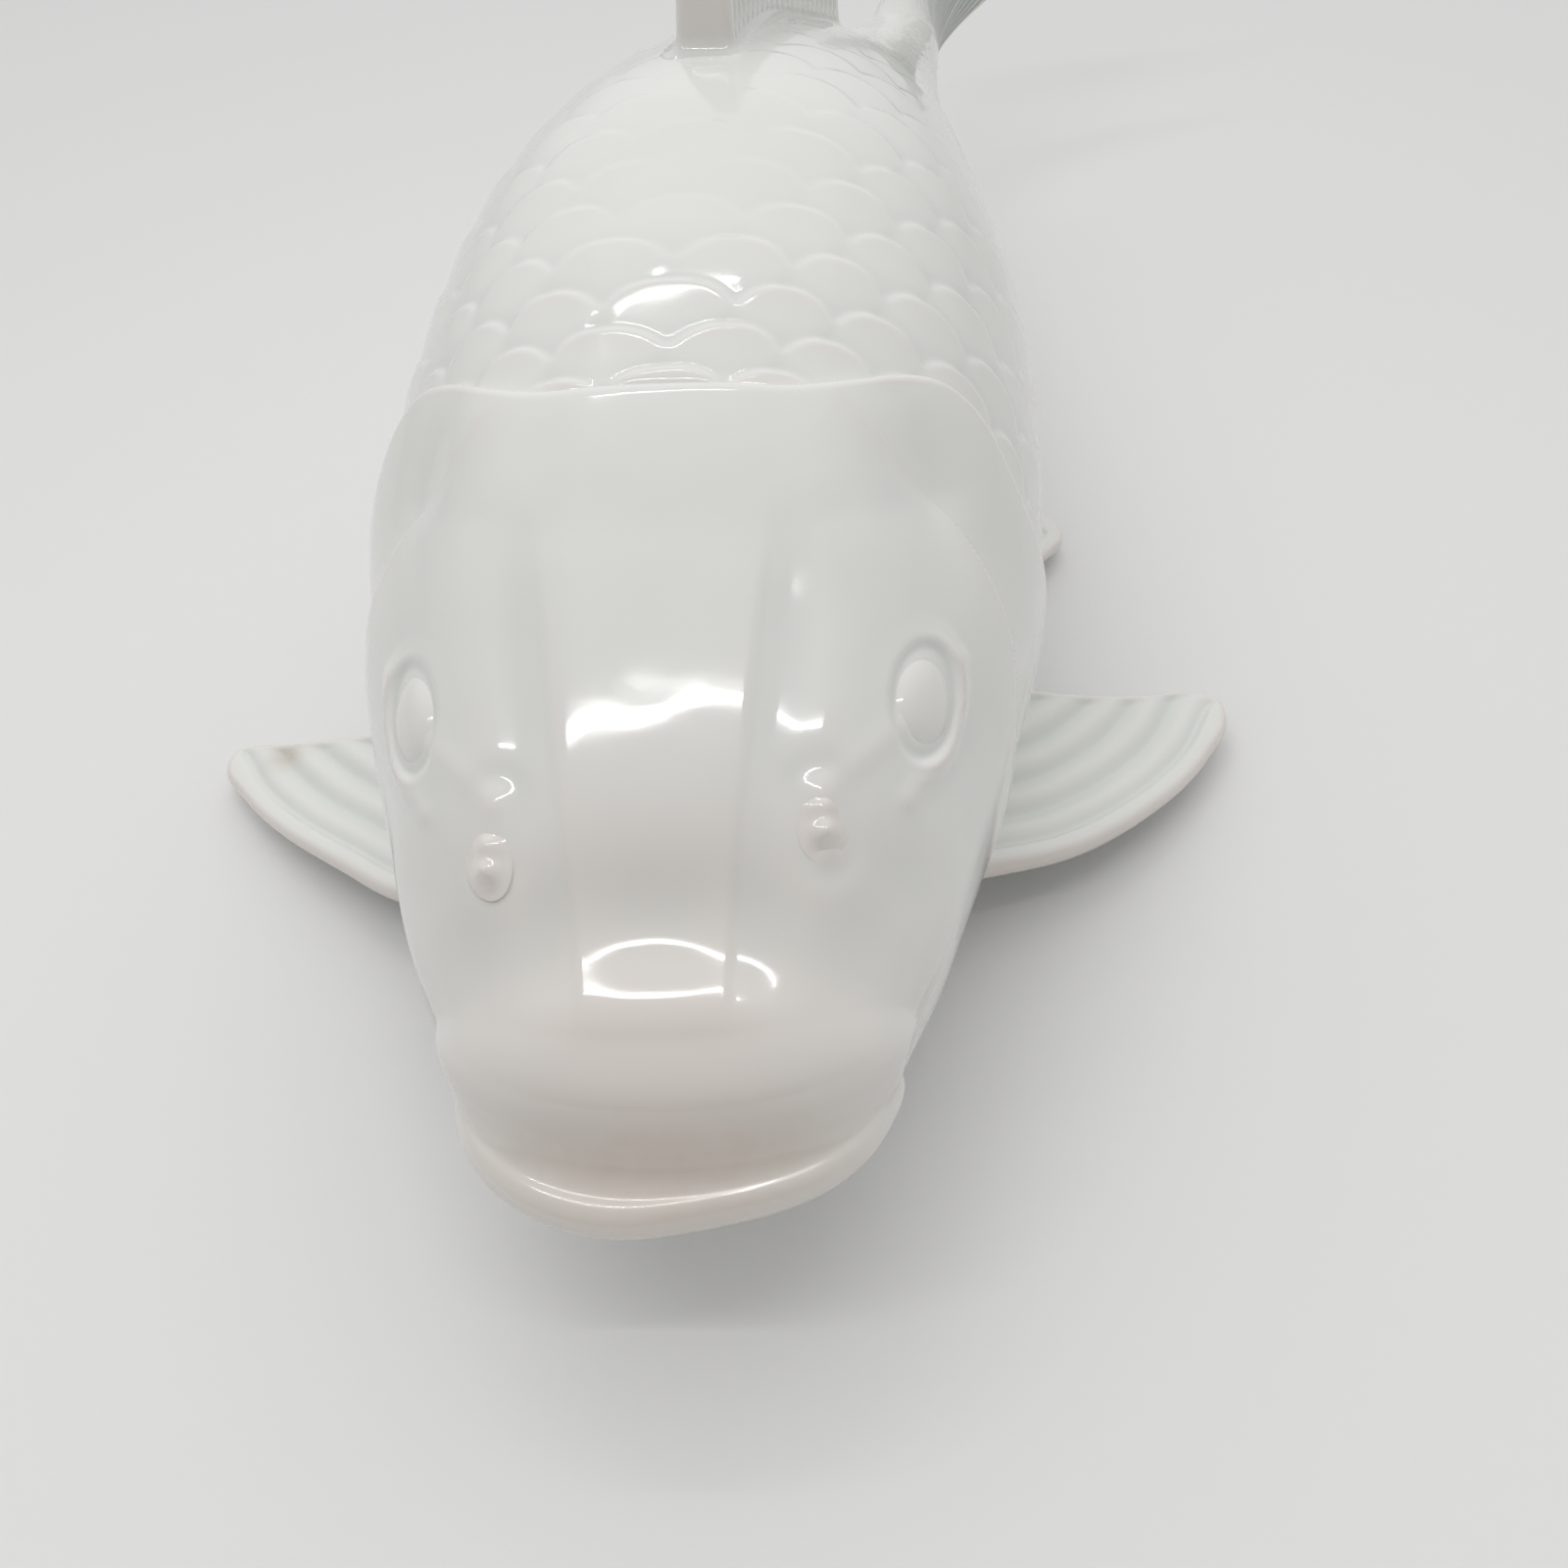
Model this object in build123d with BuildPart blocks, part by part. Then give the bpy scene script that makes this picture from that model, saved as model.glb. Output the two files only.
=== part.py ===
from build123d import *
import math
import os

# A hollow porcelain carp that lies on its belly. Lengths are millimetres. The snout points along -Y, the
# tail lies towards +Y and swings to +X, +Z is up, and the origin is the middle of the flat unglazed foot.
# The fish's own left side is at +X.

os.makedirs("parts", exist_ok=True)

# Driving sizes of the fish
body_length = 252.0
body_width = 89.0
back_height = 100.0
snout_to_foot_middle = 100.0
wall = 4.2

# Curve of the back seen from above: straight through the face, then one long arc to the right
straight_length = 41.0
tail_turn_degrees = 16.5

# Lengths used only to build
overrun = 60.0
touch = 0.6

# Each station of the body: its place along the back as a share of body_length, its half width as a share
# of body_width, then its top, its widest level and its underside as shares of back_height.
station_shares = [
    (0.012, 0.188, 0.430, 0.377, 0.260),
    (0.040, 0.263, 0.510, 0.400, 0.210),
    (0.079, 0.327, 0.598, 0.419, 0.160),
    (0.127, 0.376, 0.676, 0.431, 0.110),
    (0.183, 0.412, 0.758, 0.443, 0.060),
    (0.238, 0.449, 0.826, 0.457, 0.020),
    (0.298, 0.474, 0.883, 0.465, -0.010),
    (0.377, 0.497, 0.945, 0.466, -0.020),
    (0.476, 0.479, 0.995, 0.461, -0.020),
    (0.595, 0.408, 0.945, 0.442, 0.000),
    (0.714, 0.321, 0.820, 0.430, 0.060),
    (0.833, 0.219, 0.680, 0.440, 0.190),
    (0.933, 0.135, 0.580, 0.450, 0.310),
    (1.000, 0.096, 0.540, 0.455, 0.365),
]
section_fullness = 2.2
section_points_count = 24
skin_step_share = 0.01
skin_step_degrees = 1.0

# Seam behind the head, as a share of body_length
seam_place_share = 0.286

# Cavity left by the slip casting, as shares of body_length
cavity_place_shares = [0.060, 0.110, 0.183, 0.260, 0.377, 0.476, 0.595, 0.714, 0.833, 0.930]
foot_wall = 4.0
vent_radius = 1.75
vent_behind_middle = 18.0

# Mouth: level of each outline as a share of back_height, its half width as a share of body_width and its
# reach in front of the mouth corners as a share of body_length
mouth_corner_share = 0.0492
upper_lip_outline_shares = [
    (0.320, 0.2472, 0.0575),
    (0.330, 0.2742, 0.0690),
    (0.345, 0.2798, 0.0726),
    (0.360, 0.2674, 0.0675),
    (0.380, 0.2472, 0.0611),
    (0.405, 0.2225, 0.0500),
    (0.430, 0.1933, 0.0381),
]
lower_lip_outline_shares = [
    (0.220, 0.1348, 0.0238),
    (0.250, 0.1854, 0.0377),
    (0.280, 0.2281, 0.0508),
    (0.300, 0.2382, 0.0540),
    (0.310, 0.2315, 0.0508),
]

# Gill cover, seen from the side: places as shares of body_length, heights as shares of back_height
gill_outline_shares = [
    (0.262, 0.800),
    (0.292, 0.842),
    (0.316, 0.815),
    (0.322, 0.765),
    (0.313, 0.690),
    (0.308, 0.620),
    (0.312, 0.545),
    (0.322, 0.430),
    (0.306, 0.300),
    (0.262, 0.195),
    (0.222, 0.210),
    (0.204, 0.320),
    (0.208, 0.450),
    (0.232, 0.590),
    (0.250, 0.700),
]
gill_place_shares = [0.180, 0.204, 0.230, 0.256, 0.282, 0.308, 0.345]
gill_front_rise = 0.8
gill_rear_rise = 2.4

# Eye: place on the head, ring and ball
eye_place_share = 0.171
eye_angle_degrees = 38.5
eye_ring_length = 13.5
eye_ring_height = 12.0
eye_ball_rise = 2.6

# Nostril: two soft lobes on each side of the snout
nostril_place_share = 0.109
nostril_angle_degrees = 58.0
nostril_lobe_radius = 2.1
nostril_lobe_gap = 3.0

# Dorsal fin
dorsal_start_share = 0.502
dorsal_end_share = 0.790
dorsal_front_height = 26.0
dorsal_middle_height = 19.0
dorsal_rear_height = 13.0
dorsal_front_thickness = 8.2
dorsal_rear_thickness = 3.6
dorsal_lean = 9.0
dorsal_sink = 9.0
dorsal_edge_radius = 1.5

# Tail fin: axis points past the tail stalk (to the left, back and up), then half the chord and half the
# thickness, all as shares of body_length
tail_section_shares = [
    (0.0, 0.0, 0.0, 0.0341, 0.0302),
    (0.0167, 0.0456, 0.0159, 0.0421, 0.0183),
    (0.0437, 0.0913, 0.0476, 0.0635, 0.0107),
    (0.0833, 0.1389, 0.0933, 0.1012, 0.0083),
    (0.1310, 0.1786, 0.1488, 0.1468, 0.0063),
]
tail_tilt_degrees = [0.0, 12.0, 24.0, 35.0, 44.0]
tail_fork_depth = 25.0
tail_fork_width = 58.0
tail_fork_radius = 4.0

# Paired fins: outline in plan, away from the middle line as a share of body_width and along the fish as a
# share of body_length, then heights over the floor as shares of back_height
pectoral_left_outline_shares = [
    (0.2697, -0.1825),
    (0.4191, -0.1675),
    (0.5730, -0.1444),
    (0.7146, -0.1056),
    (0.8258, -0.0567),
    (0.8697, -0.0250),
    (0.8629, -0.0071),
    (0.8090, -0.0016),
    (0.7157, -0.0087),
    (0.6090, -0.0147),
    (0.4719, -0.0183),
    (0.2697, -0.0218),
]
pectoral_right_outline_shares = [
    (0.2697, -0.1885),
    (0.4045, -0.1833),
    (0.5337, -0.1667),
    (0.6584, -0.1357),
    (0.7854, -0.1008),
    (0.8921, -0.0627),
    (0.9506, -0.0321),
    (0.9472, -0.0183),
    (0.8258, -0.0183),
    (0.6461, -0.0238),
    (0.4719, -0.0278),
    (0.2697, -0.0317),
]
pectoral_root_share = 0.382
pectoral_tip_share = 0.9663
pectoral_root_height_share = 0.125
pectoral_tip_height_share = 0.022
pectoral_thickness = 3.4
pectoral_edge_radius = 1.0

pelvic_outline_shares = [
    (0.1798, 0.0873),
    (0.3146, 0.0952),
    (0.4270, 0.1151),
    (0.5169, 0.1429),
    (0.5562, 0.1687),
    (0.5281, 0.1885),
    (0.4045, 0.1865),
    (0.1798, 0.1706),
]
pelvic_place_share = 0.56
pelvic_root_share = 0.2472
pelvic_tip_share = 0.5618
pelvic_root_height_share = 0.085
pelvic_tip_height_share = 0.022
pelvic_thickness = 2.8
pelvic_edge_radius = 0.8

# Anal fin, under the tail stalk
anal_start_share = 0.800
anal_end_share = 0.905
anal_drop = 13.0
anal_sink = 4.5
anal_thickness = 4.0
anal_lean = 7.0
anal_edge_radius = 1.2

bend_radius = (body_length - straight_length) / math.radians(tail_turn_degrees)


def back_point(place):
    """Where the back's curve lies over the floor at a distance from the snout, and its heading in radians."""
    turn = max(place - straight_length, 0.0) / bend_radius
    straight = min(place, straight_length)
    x = bend_radius * (1 - math.cos(turn))
    y = straight + bend_radius * math.sin(turn) - snout_to_foot_middle
    return x, y, turn


def upright_plane(place, height=0.0):
    """The plane square to the back at a place, with its own x to the side and its own y up."""
    x, y, turn = back_point(place)
    side = (math.cos(turn), -math.sin(turn), 0)
    towards_snout = (-math.sin(turn), -math.cos(turn), 0)
    return Plane(origin=(x, y, height), x_dir=side, z_dir=towards_snout)


def lengthwise_plane(place):
    """The upright plane along the back at a place, with its own x towards the tail and its own y up."""
    x, y, turn = back_point(place)
    along = (math.sin(turn), math.cos(turn), 0)
    side = (math.cos(turn), -math.sin(turn), 0)
    return Plane(origin=(x, y, 0), x_dir=along, z_dir=side)


def station_sizes(place):
    """Half width, top, widest level and underside at a place, by a smooth curve through the stations."""
    rows = [
        (share * body_length, width * body_width, *(level * back_height for level in levels))
        for share, width, *levels in station_shares
    ]
    index = 0
    while index < len(rows) - 2 and place > rows[index + 1][0]:
        index += 1
    before = rows[max(index - 1, 0)]
    start = rows[index]
    end = rows[index + 1]
    after = rows[min(index + 2, len(rows) - 1)]
    span = end[0] - start[0]
    t = (place - start[0]) / span
    sizes = []
    for column in range(1, len(start)):
        slope_start = (end[column] - before[column]) / (end[0] - before[0]) * span
        slope_end = (after[column] - start[column]) / (after[0] - start[0]) * span
        sizes.append(
            (1 + 2 * t) * (1 - t) ** 2 * start[column]
            + t * (1 - t) ** 2 * slope_start
            + t**2 * (3 - 2 * t) * end[column]
            + t**2 * (t - 1) * slope_end
        )
    return sizes


def section_point(place, angle, growth=0.0):
    """A point of the body's section: to the side and up, at an angle round from the side, grown outward."""
    half_width, top, widest, underside = station_sizes(place)
    reach = top - widest if math.sin(angle) >= 0 else widest - underside
    power = 2 / section_fullness
    across = math.copysign(abs(math.cos(angle)) ** power, math.cos(angle))
    upward = math.copysign(abs(math.sin(angle)) ** power, math.sin(angle))
    return (half_width + growth) * across, widest + (reach + growth) * upward


def body_section(place, growth=0.0):
    """The body's closed section at a place, grown outward, as a face."""
    angles = [2 * math.pi * k / section_points_count for k in range(section_points_count)]
    with BuildSketch(upright_plane(place)) as section:
        with BuildLine():
            Spline([section_point(place, angle, growth) for angle in angles], periodic=True)
        make_face()
    return section.sketch


def skin_point(place, angle):
    """The point of the body's skin at a place and an angle, in the fish's own axes."""
    across, level = section_point(place, angle)
    return upright_plane(place).from_local_coords(Vector(across, level, 0))


def skin_plane(place, angle):
    """The plane that touches the skin there, its own x towards the tail and its own z outward."""
    step_along = skin_step_share * body_length
    step_round = math.radians(skin_step_degrees)
    along = skin_point(place + step_along, angle) - skin_point(place - step_along, angle)
    round_skin = skin_point(place, angle + step_round) - skin_point(place, angle - step_round)
    outward = round_skin.cross(along)
    if outward.dot(skin_point(place, angle) - upright_plane(place, back_height / 2).origin) < 0:
        outward = -outward
    return Plane(origin=skin_point(place, angle), x_dir=along, z_dir=outward)


def lip_outline(level_share, half_width_share, reach_share):
    """One level outline of a lip, centred between the mouth corners, as a face."""
    corner_y = mouth_corner_share * body_length - snout_to_foot_middle
    with BuildSketch(Plane.XY.offset(level_share * back_height)) as outline:
        with Locations((0, corner_y)):
            Ellipse(half_width_share * body_width, reach_share * body_length)
    return outline.sketch


# Outer form of the whole body, before it is divided into castings
with BuildPart() as body_form:
    loft([body_section(share * body_length) for share, *_ in station_shares])

with BuildPart() as upper_lip_form:
    loft([lip_outline(*shares) for shares in upper_lip_outline_shares])

with BuildPart() as lower_lip_form:
    loft([lip_outline(*shares) for shares in lower_lip_outline_shares])

with BuildPart() as skin_form:
    add(body_form.part)
    add(upper_lip_form.part)
    add(lower_lip_form.part)
    split(bisect_by=Plane.XY, keep=Keep.TOP)

with BuildPart() as cavity_form:
    loft([body_section(share * body_length, growth=-wall) for share in cavity_place_shares])
    split(bisect_by=Plane.XY.offset(foot_wall), keep=Keep.TOP)

seam_plane = upright_plane(seam_place_share * body_length)

with BuildPart() as head_casting:
    add(skin_form.part)
    add(cavity_form.part, mode=Mode.SUBTRACT)
    split(bisect_by=seam_plane, keep=Keep.TOP)
head_casting.part.label = "head_casting"

with BuildPart() as trunk_casting:
    add(skin_form.part)
    add(cavity_form.part, mode=Mode.SUBTRACT)
    split(bisect_by=seam_plane, keep=Keep.BOTTOM)
    with Locations((0, vent_behind_middle, 0)):
        from_below = (Align.CENTER, Align.CENTER, Align.MIN)
        Cylinder(vent_radius, foot_wall + touch, align=from_below, mode=Mode.SUBTRACT)
trunk_casting.part.label = "trunk_casting"

# Gill covers: plates that rise from the cheek to a free rear edge
with BuildPart() as gill_form:
    first_share = gill_place_shares[0]
    rise_per_share = (gill_rear_rise - gill_front_rise) / (gill_place_shares[-1] - first_share)
    loft(
        [
            body_section(share * body_length, gill_front_rise + rise_per_share * (share - first_share))
            for share in gill_place_shares
        ]
    )


def gill_cover(side):
    """The gill cover on one side, 1 for the fish's left and -1 for its right."""
    outline = [
        (share * body_length - snout_to_foot_middle, height_share * back_height)
        for share, height_share in gill_outline_shares
    ]
    with BuildPart() as cover:
        with BuildSketch(Plane.YZ):
            with BuildLine():
                Spline(outline, periodic=True)
            make_face()
        extrude(amount=side * overrun)
        add(gill_form.part, mode=Mode.INTERSECT)
        add(skin_form.part, mode=Mode.SUBTRACT)
    return cover


def eye(side):
    """The ball of an eye on its ring, seated on the head."""
    angle = math.radians(eye_angle_degrees if side > 0 else 180 - eye_angle_degrees)
    seat = skin_plane(eye_place_share * body_length, angle)
    half_length = eye_ring_length / 2
    half_height = eye_ring_height / 2
    # Each level: its rise over the skin and its size, as shares of the ball's rise and of the ring's size
    level_shares = [(-1.0, 1.0), (0.1, 1.0), (0.45, 0.86), (0.8, 0.6), (1.0, 0.25)]
    with BuildPart() as ball:
        for rise_share, size_share in level_shares:
            with BuildSketch(seat.offset(rise_share * eye_ball_rise)):
                Ellipse(size_share * half_length, size_share * half_height)
        loft()
        add(skin_form.part, mode=Mode.SUBTRACT)
    return ball


def nostril_flap(side):
    """Two lobes of one modelled nostril, seated on the snout."""
    angle = math.radians(nostril_angle_degrees if side > 0 else 180 - nostril_angle_degrees)
    seat = skin_plane(nostril_place_share * body_length, angle)
    with BuildPart() as flap:
        with Locations(seat):
            with Locations((-nostril_lobe_gap / 2, 0, 0), (nostril_lobe_gap / 2, 0, 0)):
                Sphere(nostril_lobe_radius)
        add(skin_form.part, mode=Mode.SUBTRACT)
    return flap


for name, side in (("left", 1), ("right", -1)):
    cover = gill_cover(side)
    cover.part.label = f"gill_cover_{name}"
    export_step(cover.part, f"parts/gill_cover_{name}.step")
    ball = eye(side)
    ball.part.label = f"eye_{name}"
    export_step(ball.part, f"parts/eye_{name}.step")
    flap = nostril_flap(side)
    flap.part.label = f"nostril_flap_{name}"
    export_step(flap.part, f"parts/nostril_flap_{name}.step")

# Dorsal fin: a thick plate with a flat front end, thinner towards the tail
dorsal_start = dorsal_start_share * body_length
dorsal_end = dorsal_end_share * body_length
dorsal_run = dorsal_end - dorsal_start
dorsal_plane = lengthwise_plane(dorsal_start)
start_top = station_sizes(dorsal_start)[1]
middle_top = station_sizes(dorsal_start + dorsal_run / 2)[1]
end_top = station_sizes(dorsal_end)[1]
with BuildPart() as dorsal_fin:
    with BuildSketch(dorsal_plane):
        with BuildLine():
            front_foot = (0, start_top - dorsal_sink)
            front_tip = (dorsal_lean, start_top + dorsal_front_height)
            rear_tip = (dorsal_run + dorsal_lean, end_top + dorsal_rear_height)
            rear_foot = (dorsal_run, end_top - dorsal_sink)
            Line(front_foot, front_tip)
            Spline([front_tip, (dorsal_run / 2 + dorsal_lean, middle_top + dorsal_middle_height), rear_tip])
            Line(rear_tip, rear_foot)
            Line(rear_foot, front_foot)
        make_face()
    extrude(amount=dorsal_front_thickness, both=True)
    # The fin follows the back round, so its plan is a bent wedge
    with BuildSketch(Plane.XY) as wedge:
        with BuildLine():
            for edge_side in (-1, 1):
                edge = []
                for place, thickness in (
                    (dorsal_start, dorsal_front_thickness),
                    (dorsal_start + dorsal_run / 2, (dorsal_front_thickness + dorsal_rear_thickness) / 2),
                    (dorsal_end + dorsal_lean * 2, dorsal_rear_thickness),
                ):
                    point = upright_plane(place).from_local_coords(Vector(edge_side * thickness / 2, 0, 0))
                    edge.append((point.X, point.Y))
                if edge_side < 0:
                    left_edge = Spline(edge)
                else:
                    right_edge = Spline(edge)
            Line(left_edge @ 0, right_edge @ 0)
            Line(left_edge @ 1, right_edge @ 1)
        make_face()
    extrude(amount=back_height + overrun, mode=Mode.INTERSECT)
    foot_edges = dorsal_fin.faces().sort_by(Axis.Z)[0].edges()
    fillet(dorsal_fin.edges() - foot_edges, dorsal_edge_radius)
    add(skin_form.part, mode=Mode.SUBTRACT)
dorsal_fin.part.label = "dorsal_fin"

# Tail fin: thin elliptical sections that turn, rise and fan out, then a fork cut in the end
stalk_end = upright_plane(body_length, station_shares[-1][3] * back_height)
stalk_turn = back_point(body_length)[2]
tail_points = [
    stalk_end.origin + Vector(left, back, up) * body_length for left, back, up, *_ in tail_section_shares
]


def tail_plane(index):
    """The plane of one tail section: its own x along the chord and its own z along the fin."""
    tilt = math.radians(tail_tilt_degrees[index])
    if index == 0:
        along = Vector(math.sin(stalk_turn), math.cos(stalk_turn), 0)
    else:
        before = tail_points[index - 1]
        after = tail_points[min(index + 1, len(tail_points) - 1)]
        along = (after - before).normalized()
    chord = Vector(-math.sin(tilt), 0, math.cos(tilt))
    chord = chord - along * chord.dot(along)
    return Plane(origin=tail_points[index], x_dir=chord, z_dir=along)


with BuildPart() as tail_fin:
    for index, (*_, half_chord_share, half_thickness_share) in enumerate(tail_section_shares):
        with BuildSketch(tail_plane(index)):
            Ellipse(half_chord_share * body_length, half_thickness_share * body_length)
    loft()
    end_plane = tail_plane(len(tail_points) - 1)
    fork_plane = Plane(origin=end_plane.origin, x_dir=end_plane.x_dir, z_dir=end_plane.y_dir)
    with BuildSketch(fork_plane) as fork:
        with BuildLine():
            Polyline(
                (-tail_fork_width / 2, -touch),
                (0, tail_fork_depth),
                (tail_fork_width / 2, -touch),
                close=True,
            )
        make_face()
        fillet(fork.vertices().sort_by(Axis.Y)[-1:], tail_fork_radius)
    extrude(amount=overrun / 2, both=True, mode=Mode.SUBTRACT)
tail_fin.part.label = "tail_fin"

# Anal fin: a small plate under the tail stalk
anal_start = anal_start_share * body_length
anal_end = anal_end_share * body_length
anal_run = anal_end - anal_start
with BuildPart() as anal_fin:
    start_low = station_sizes(anal_start)[3]
    end_low = station_sizes(anal_end)[3]
    with BuildSketch(lengthwise_plane(anal_start)) as anal_outline:
        with BuildLine():
            Polyline(
                (0, start_low + anal_sink),
                (anal_lean, start_low - anal_drop),
                (anal_run + anal_lean, end_low - anal_drop / 2),
                (anal_run, end_low + anal_sink),
                close=True,
            )
        make_face()
        fillet(anal_outline.vertices().group_by(Axis.Y)[0], anal_edge_radius)
    extrude(amount=anal_thickness / 2, both=True)
    add(skin_form.part, mode=Mode.SUBTRACT)
anal_fin.part.label = "anal_fin"


def spread_fin(outline_shares, side, middle_shift, ends, thickness, edge_radius):
    """A plate with a plan outline on one side of the fish, sloping down along the line between its ends.

    The ends give the root's and the tip's shares of body_width, then their height shares of back_height.
    """
    root_x, tip_x = (share * body_width for share in ends[0])
    root_height, tip_height = (share * back_height for share in ends[1])
    slope = (root_height - tip_height) / (tip_x - root_x)
    along_fin = Vector(side, 0, -slope).normalized()
    outward = Vector(side * slope, 0, 1).normalized()
    fin_plane = Plane(origin=(middle_shift + side * root_x, 0, root_height), x_dir=along_fin, z_dir=outward)
    stretch = math.hypot(1, slope)
    points = [
        ((away * body_width - root_x) * stretch, side * along * body_length)
        for away, along in outline_shares
    ]
    with BuildPart() as fin:
        with BuildSketch(fin_plane):
            with BuildLine():
                edge = Spline(points)
                Line(edge @ 1, edge @ 0)
            make_face()
        extrude(amount=thickness)
        rim = fin.edges().filter_by(GeomType.BSPLINE)
        fillet(rim, edge_radius)
        add(skin_form.part, mode=Mode.SUBTRACT)
        outer = fin.solids().sort_by(lambda solid: side * solid.center().X)[-1]
    return outer


pectoral_ends = (
    (pectoral_root_share, pectoral_tip_share),
    (pectoral_root_height_share, pectoral_tip_height_share),
)
pelvic_ends = (
    (pelvic_root_share, pelvic_tip_share),
    (pelvic_root_height_share, pelvic_tip_height_share),
)
pelvic_shift = back_point(pelvic_place_share * body_length)[0]
for name, side, outline_shares in (
    ("left", 1, pectoral_left_outline_shares),
    ("right", -1, pectoral_right_outline_shares),
):
    pectoral = spread_fin(outline_shares, side, 0, pectoral_ends, pectoral_thickness, pectoral_edge_radius)
    pectoral.label = f"pectoral_fin_{name}"
    export_step(pectoral, f"parts/pectoral_fin_{name}.step")
    pelvic = spread_fin(
        pelvic_outline_shares, side, pelvic_shift, pelvic_ends, pelvic_thickness, pelvic_edge_radius
    )
    pelvic.label = f"pelvic_fin_{name}"
    export_step(pelvic, f"parts/pelvic_fin_{name}.step")

for casting in (head_casting, trunk_casting, dorsal_fin, tail_fin, anal_fin):
    export_step(casting.part, f"parts/{casting.part.label}.step")
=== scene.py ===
import bmesh
import bpy
import numpy as np
from mathutils import Matrix


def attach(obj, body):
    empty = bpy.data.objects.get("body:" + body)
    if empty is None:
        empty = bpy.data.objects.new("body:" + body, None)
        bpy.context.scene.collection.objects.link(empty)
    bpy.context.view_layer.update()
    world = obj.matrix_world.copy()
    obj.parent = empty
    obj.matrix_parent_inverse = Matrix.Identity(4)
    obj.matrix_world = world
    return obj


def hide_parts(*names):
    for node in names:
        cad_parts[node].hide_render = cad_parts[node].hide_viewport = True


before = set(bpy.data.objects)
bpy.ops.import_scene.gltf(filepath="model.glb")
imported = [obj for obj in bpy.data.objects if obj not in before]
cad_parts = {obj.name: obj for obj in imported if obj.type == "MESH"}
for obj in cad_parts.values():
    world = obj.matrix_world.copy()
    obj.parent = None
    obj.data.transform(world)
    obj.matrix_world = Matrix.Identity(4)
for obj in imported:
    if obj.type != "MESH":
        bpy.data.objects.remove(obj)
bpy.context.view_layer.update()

# Shapes are worked out in millimetres, in the frame of the castings: the snout points along -Y, the fish's
# own left is at +X, and the flat foot lies on z = 0. A place is a distance along the back from the snout.
MM = 0.001
BODY_LENGTH = 252.0
BODY_WIDTH = 89.0
BODY_HEIGHT = 100.0
SNOUT_TO_FOOT = 100.0
STRAIGHT_LENGTH = 41.0
TAIL_TURN = np.radians(16.5)
BEND_RADIUS = (BODY_LENGTH - STRAIGHT_LENGTH) / TAIL_TURN
# Places of the seam between the castings, of the trunk's first row and of the joint of its two lengths
SEAM_PLACE = 72.07
TRUNK_START = 70.6
TRUNK_JOINT = 150.0
# Glazed pieces stay this far over the table, and only the bare foot stands on it
CLEAR_OF_TABLE = 0.12
VENT_RADIUS = 1.75

# Place along the back, half width, top, widest level and underside, in shares of the body's length, width
# and height
STATIONS = np.array(
    [
        (0.012, 0.188, 0.430, 0.377, 0.260),
        (0.040, 0.263, 0.510, 0.400, 0.210),
        (0.079, 0.327, 0.598, 0.419, 0.160),
        (0.127, 0.376, 0.676, 0.431, 0.110),
        (0.183, 0.412, 0.758, 0.443, 0.060),
        (0.238, 0.449, 0.826, 0.457, 0.020),
        (0.298, 0.474, 0.883, 0.465, -0.010),
        (0.377, 0.497, 0.945, 0.466, -0.020),
        (0.476, 0.479, 0.995, 0.461, -0.020),
        (0.595, 0.408, 0.945, 0.442, 0.000),
        (0.714, 0.321, 0.820, 0.430, 0.060),
        (0.833, 0.219, 0.680, 0.440, 0.190),
        (0.933, 0.135, 0.580, 0.450, 0.310),
        (1.000, 0.096, 0.540, 0.455, 0.365),
    ]
) * np.array([BODY_LENGTH, BODY_WIDTH, BODY_HEIGHT, BODY_HEIGHT, BODY_HEIGHT])
SQUARENESS = 2.2


def smooth(value):
    """Goes from 0 to 1 as the value does, as three times its square less twice its cube, and stays there."""
    value = np.clip(value, 0, 1)
    return value * value * (3 - 2 * value)


def bump(distance, width):
    """A bell that is 1 at no distance and falls off as the exponential of minus half the squared ratio."""
    return np.exp(-0.5 * (distance / width) ** 2)


def ripple(turns):
    """Goes from 1 down to 0 and back in each turn, as half of one more than the cosine."""
    return 0.5 + 0.5 * np.cos(2 * np.pi * turns)


def unit(direction):
    """Directions at a length of one."""
    return direction / np.linalg.norm(direction, axis=-1, keepdims=True)


def signed_power(value, power):
    """The size of a value raised to a power, with the value's own sign."""
    return np.sign(value) * np.abs(value) ** power


def spine(place):
    """Where the back's curve lies at a distance from the snout: straight, then an arc of one radius."""
    turn = np.maximum(place - STRAIGHT_LENGTH, 0) / BEND_RADIUS
    x = BEND_RADIUS * (1 - np.cos(turn))
    y = np.minimum(place, STRAIGHT_LENGTH) + BEND_RADIUS * np.sin(turn) - SNOUT_TO_FOOT
    return x, y, turn


def cubic(t, start, start_slope, end, end_slope):
    """The cubic that goes from start to end as t goes from 0 to 1, with these slopes at its ends."""
    return (
        (1 + 2 * t) * (1 - t) ** 2 * start
        + t * (1 - t) ** 2 * start_slope
        + t**2 * (3 - 2 * t) * end
        + t**2 * (t - 1) * end_slope
    )


def station_sizes(place):
    """Half width, top, widest level and underside, by cubic pieces through the stations.

    The slope at a station is that of the line between its two neighbours.
    """
    place = np.asarray(place, float)
    index = np.clip(np.searchsorted(STATIONS[:, 0], place) - 1, 0, len(STATIONS) - 2)
    before = STATIONS[np.maximum(index - 1, 0)]
    start = STATIONS[index]
    end = STATIONS[index + 1]
    after = STATIONS[np.minimum(index + 2, len(STATIONS) - 1)]
    span = (end - start)[..., :1]
    t = (place[..., None] - start[..., :1]) / span
    start_slope = (end - before) / (end - before)[..., :1] * span
    end_slope = (after - start) / (after - start)[..., :1] * span
    sizes = cubic(t, start, start_slope, end, end_slope)
    return sizes[..., 1], sizes[..., 2], sizes[..., 3], sizes[..., 4]


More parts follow.
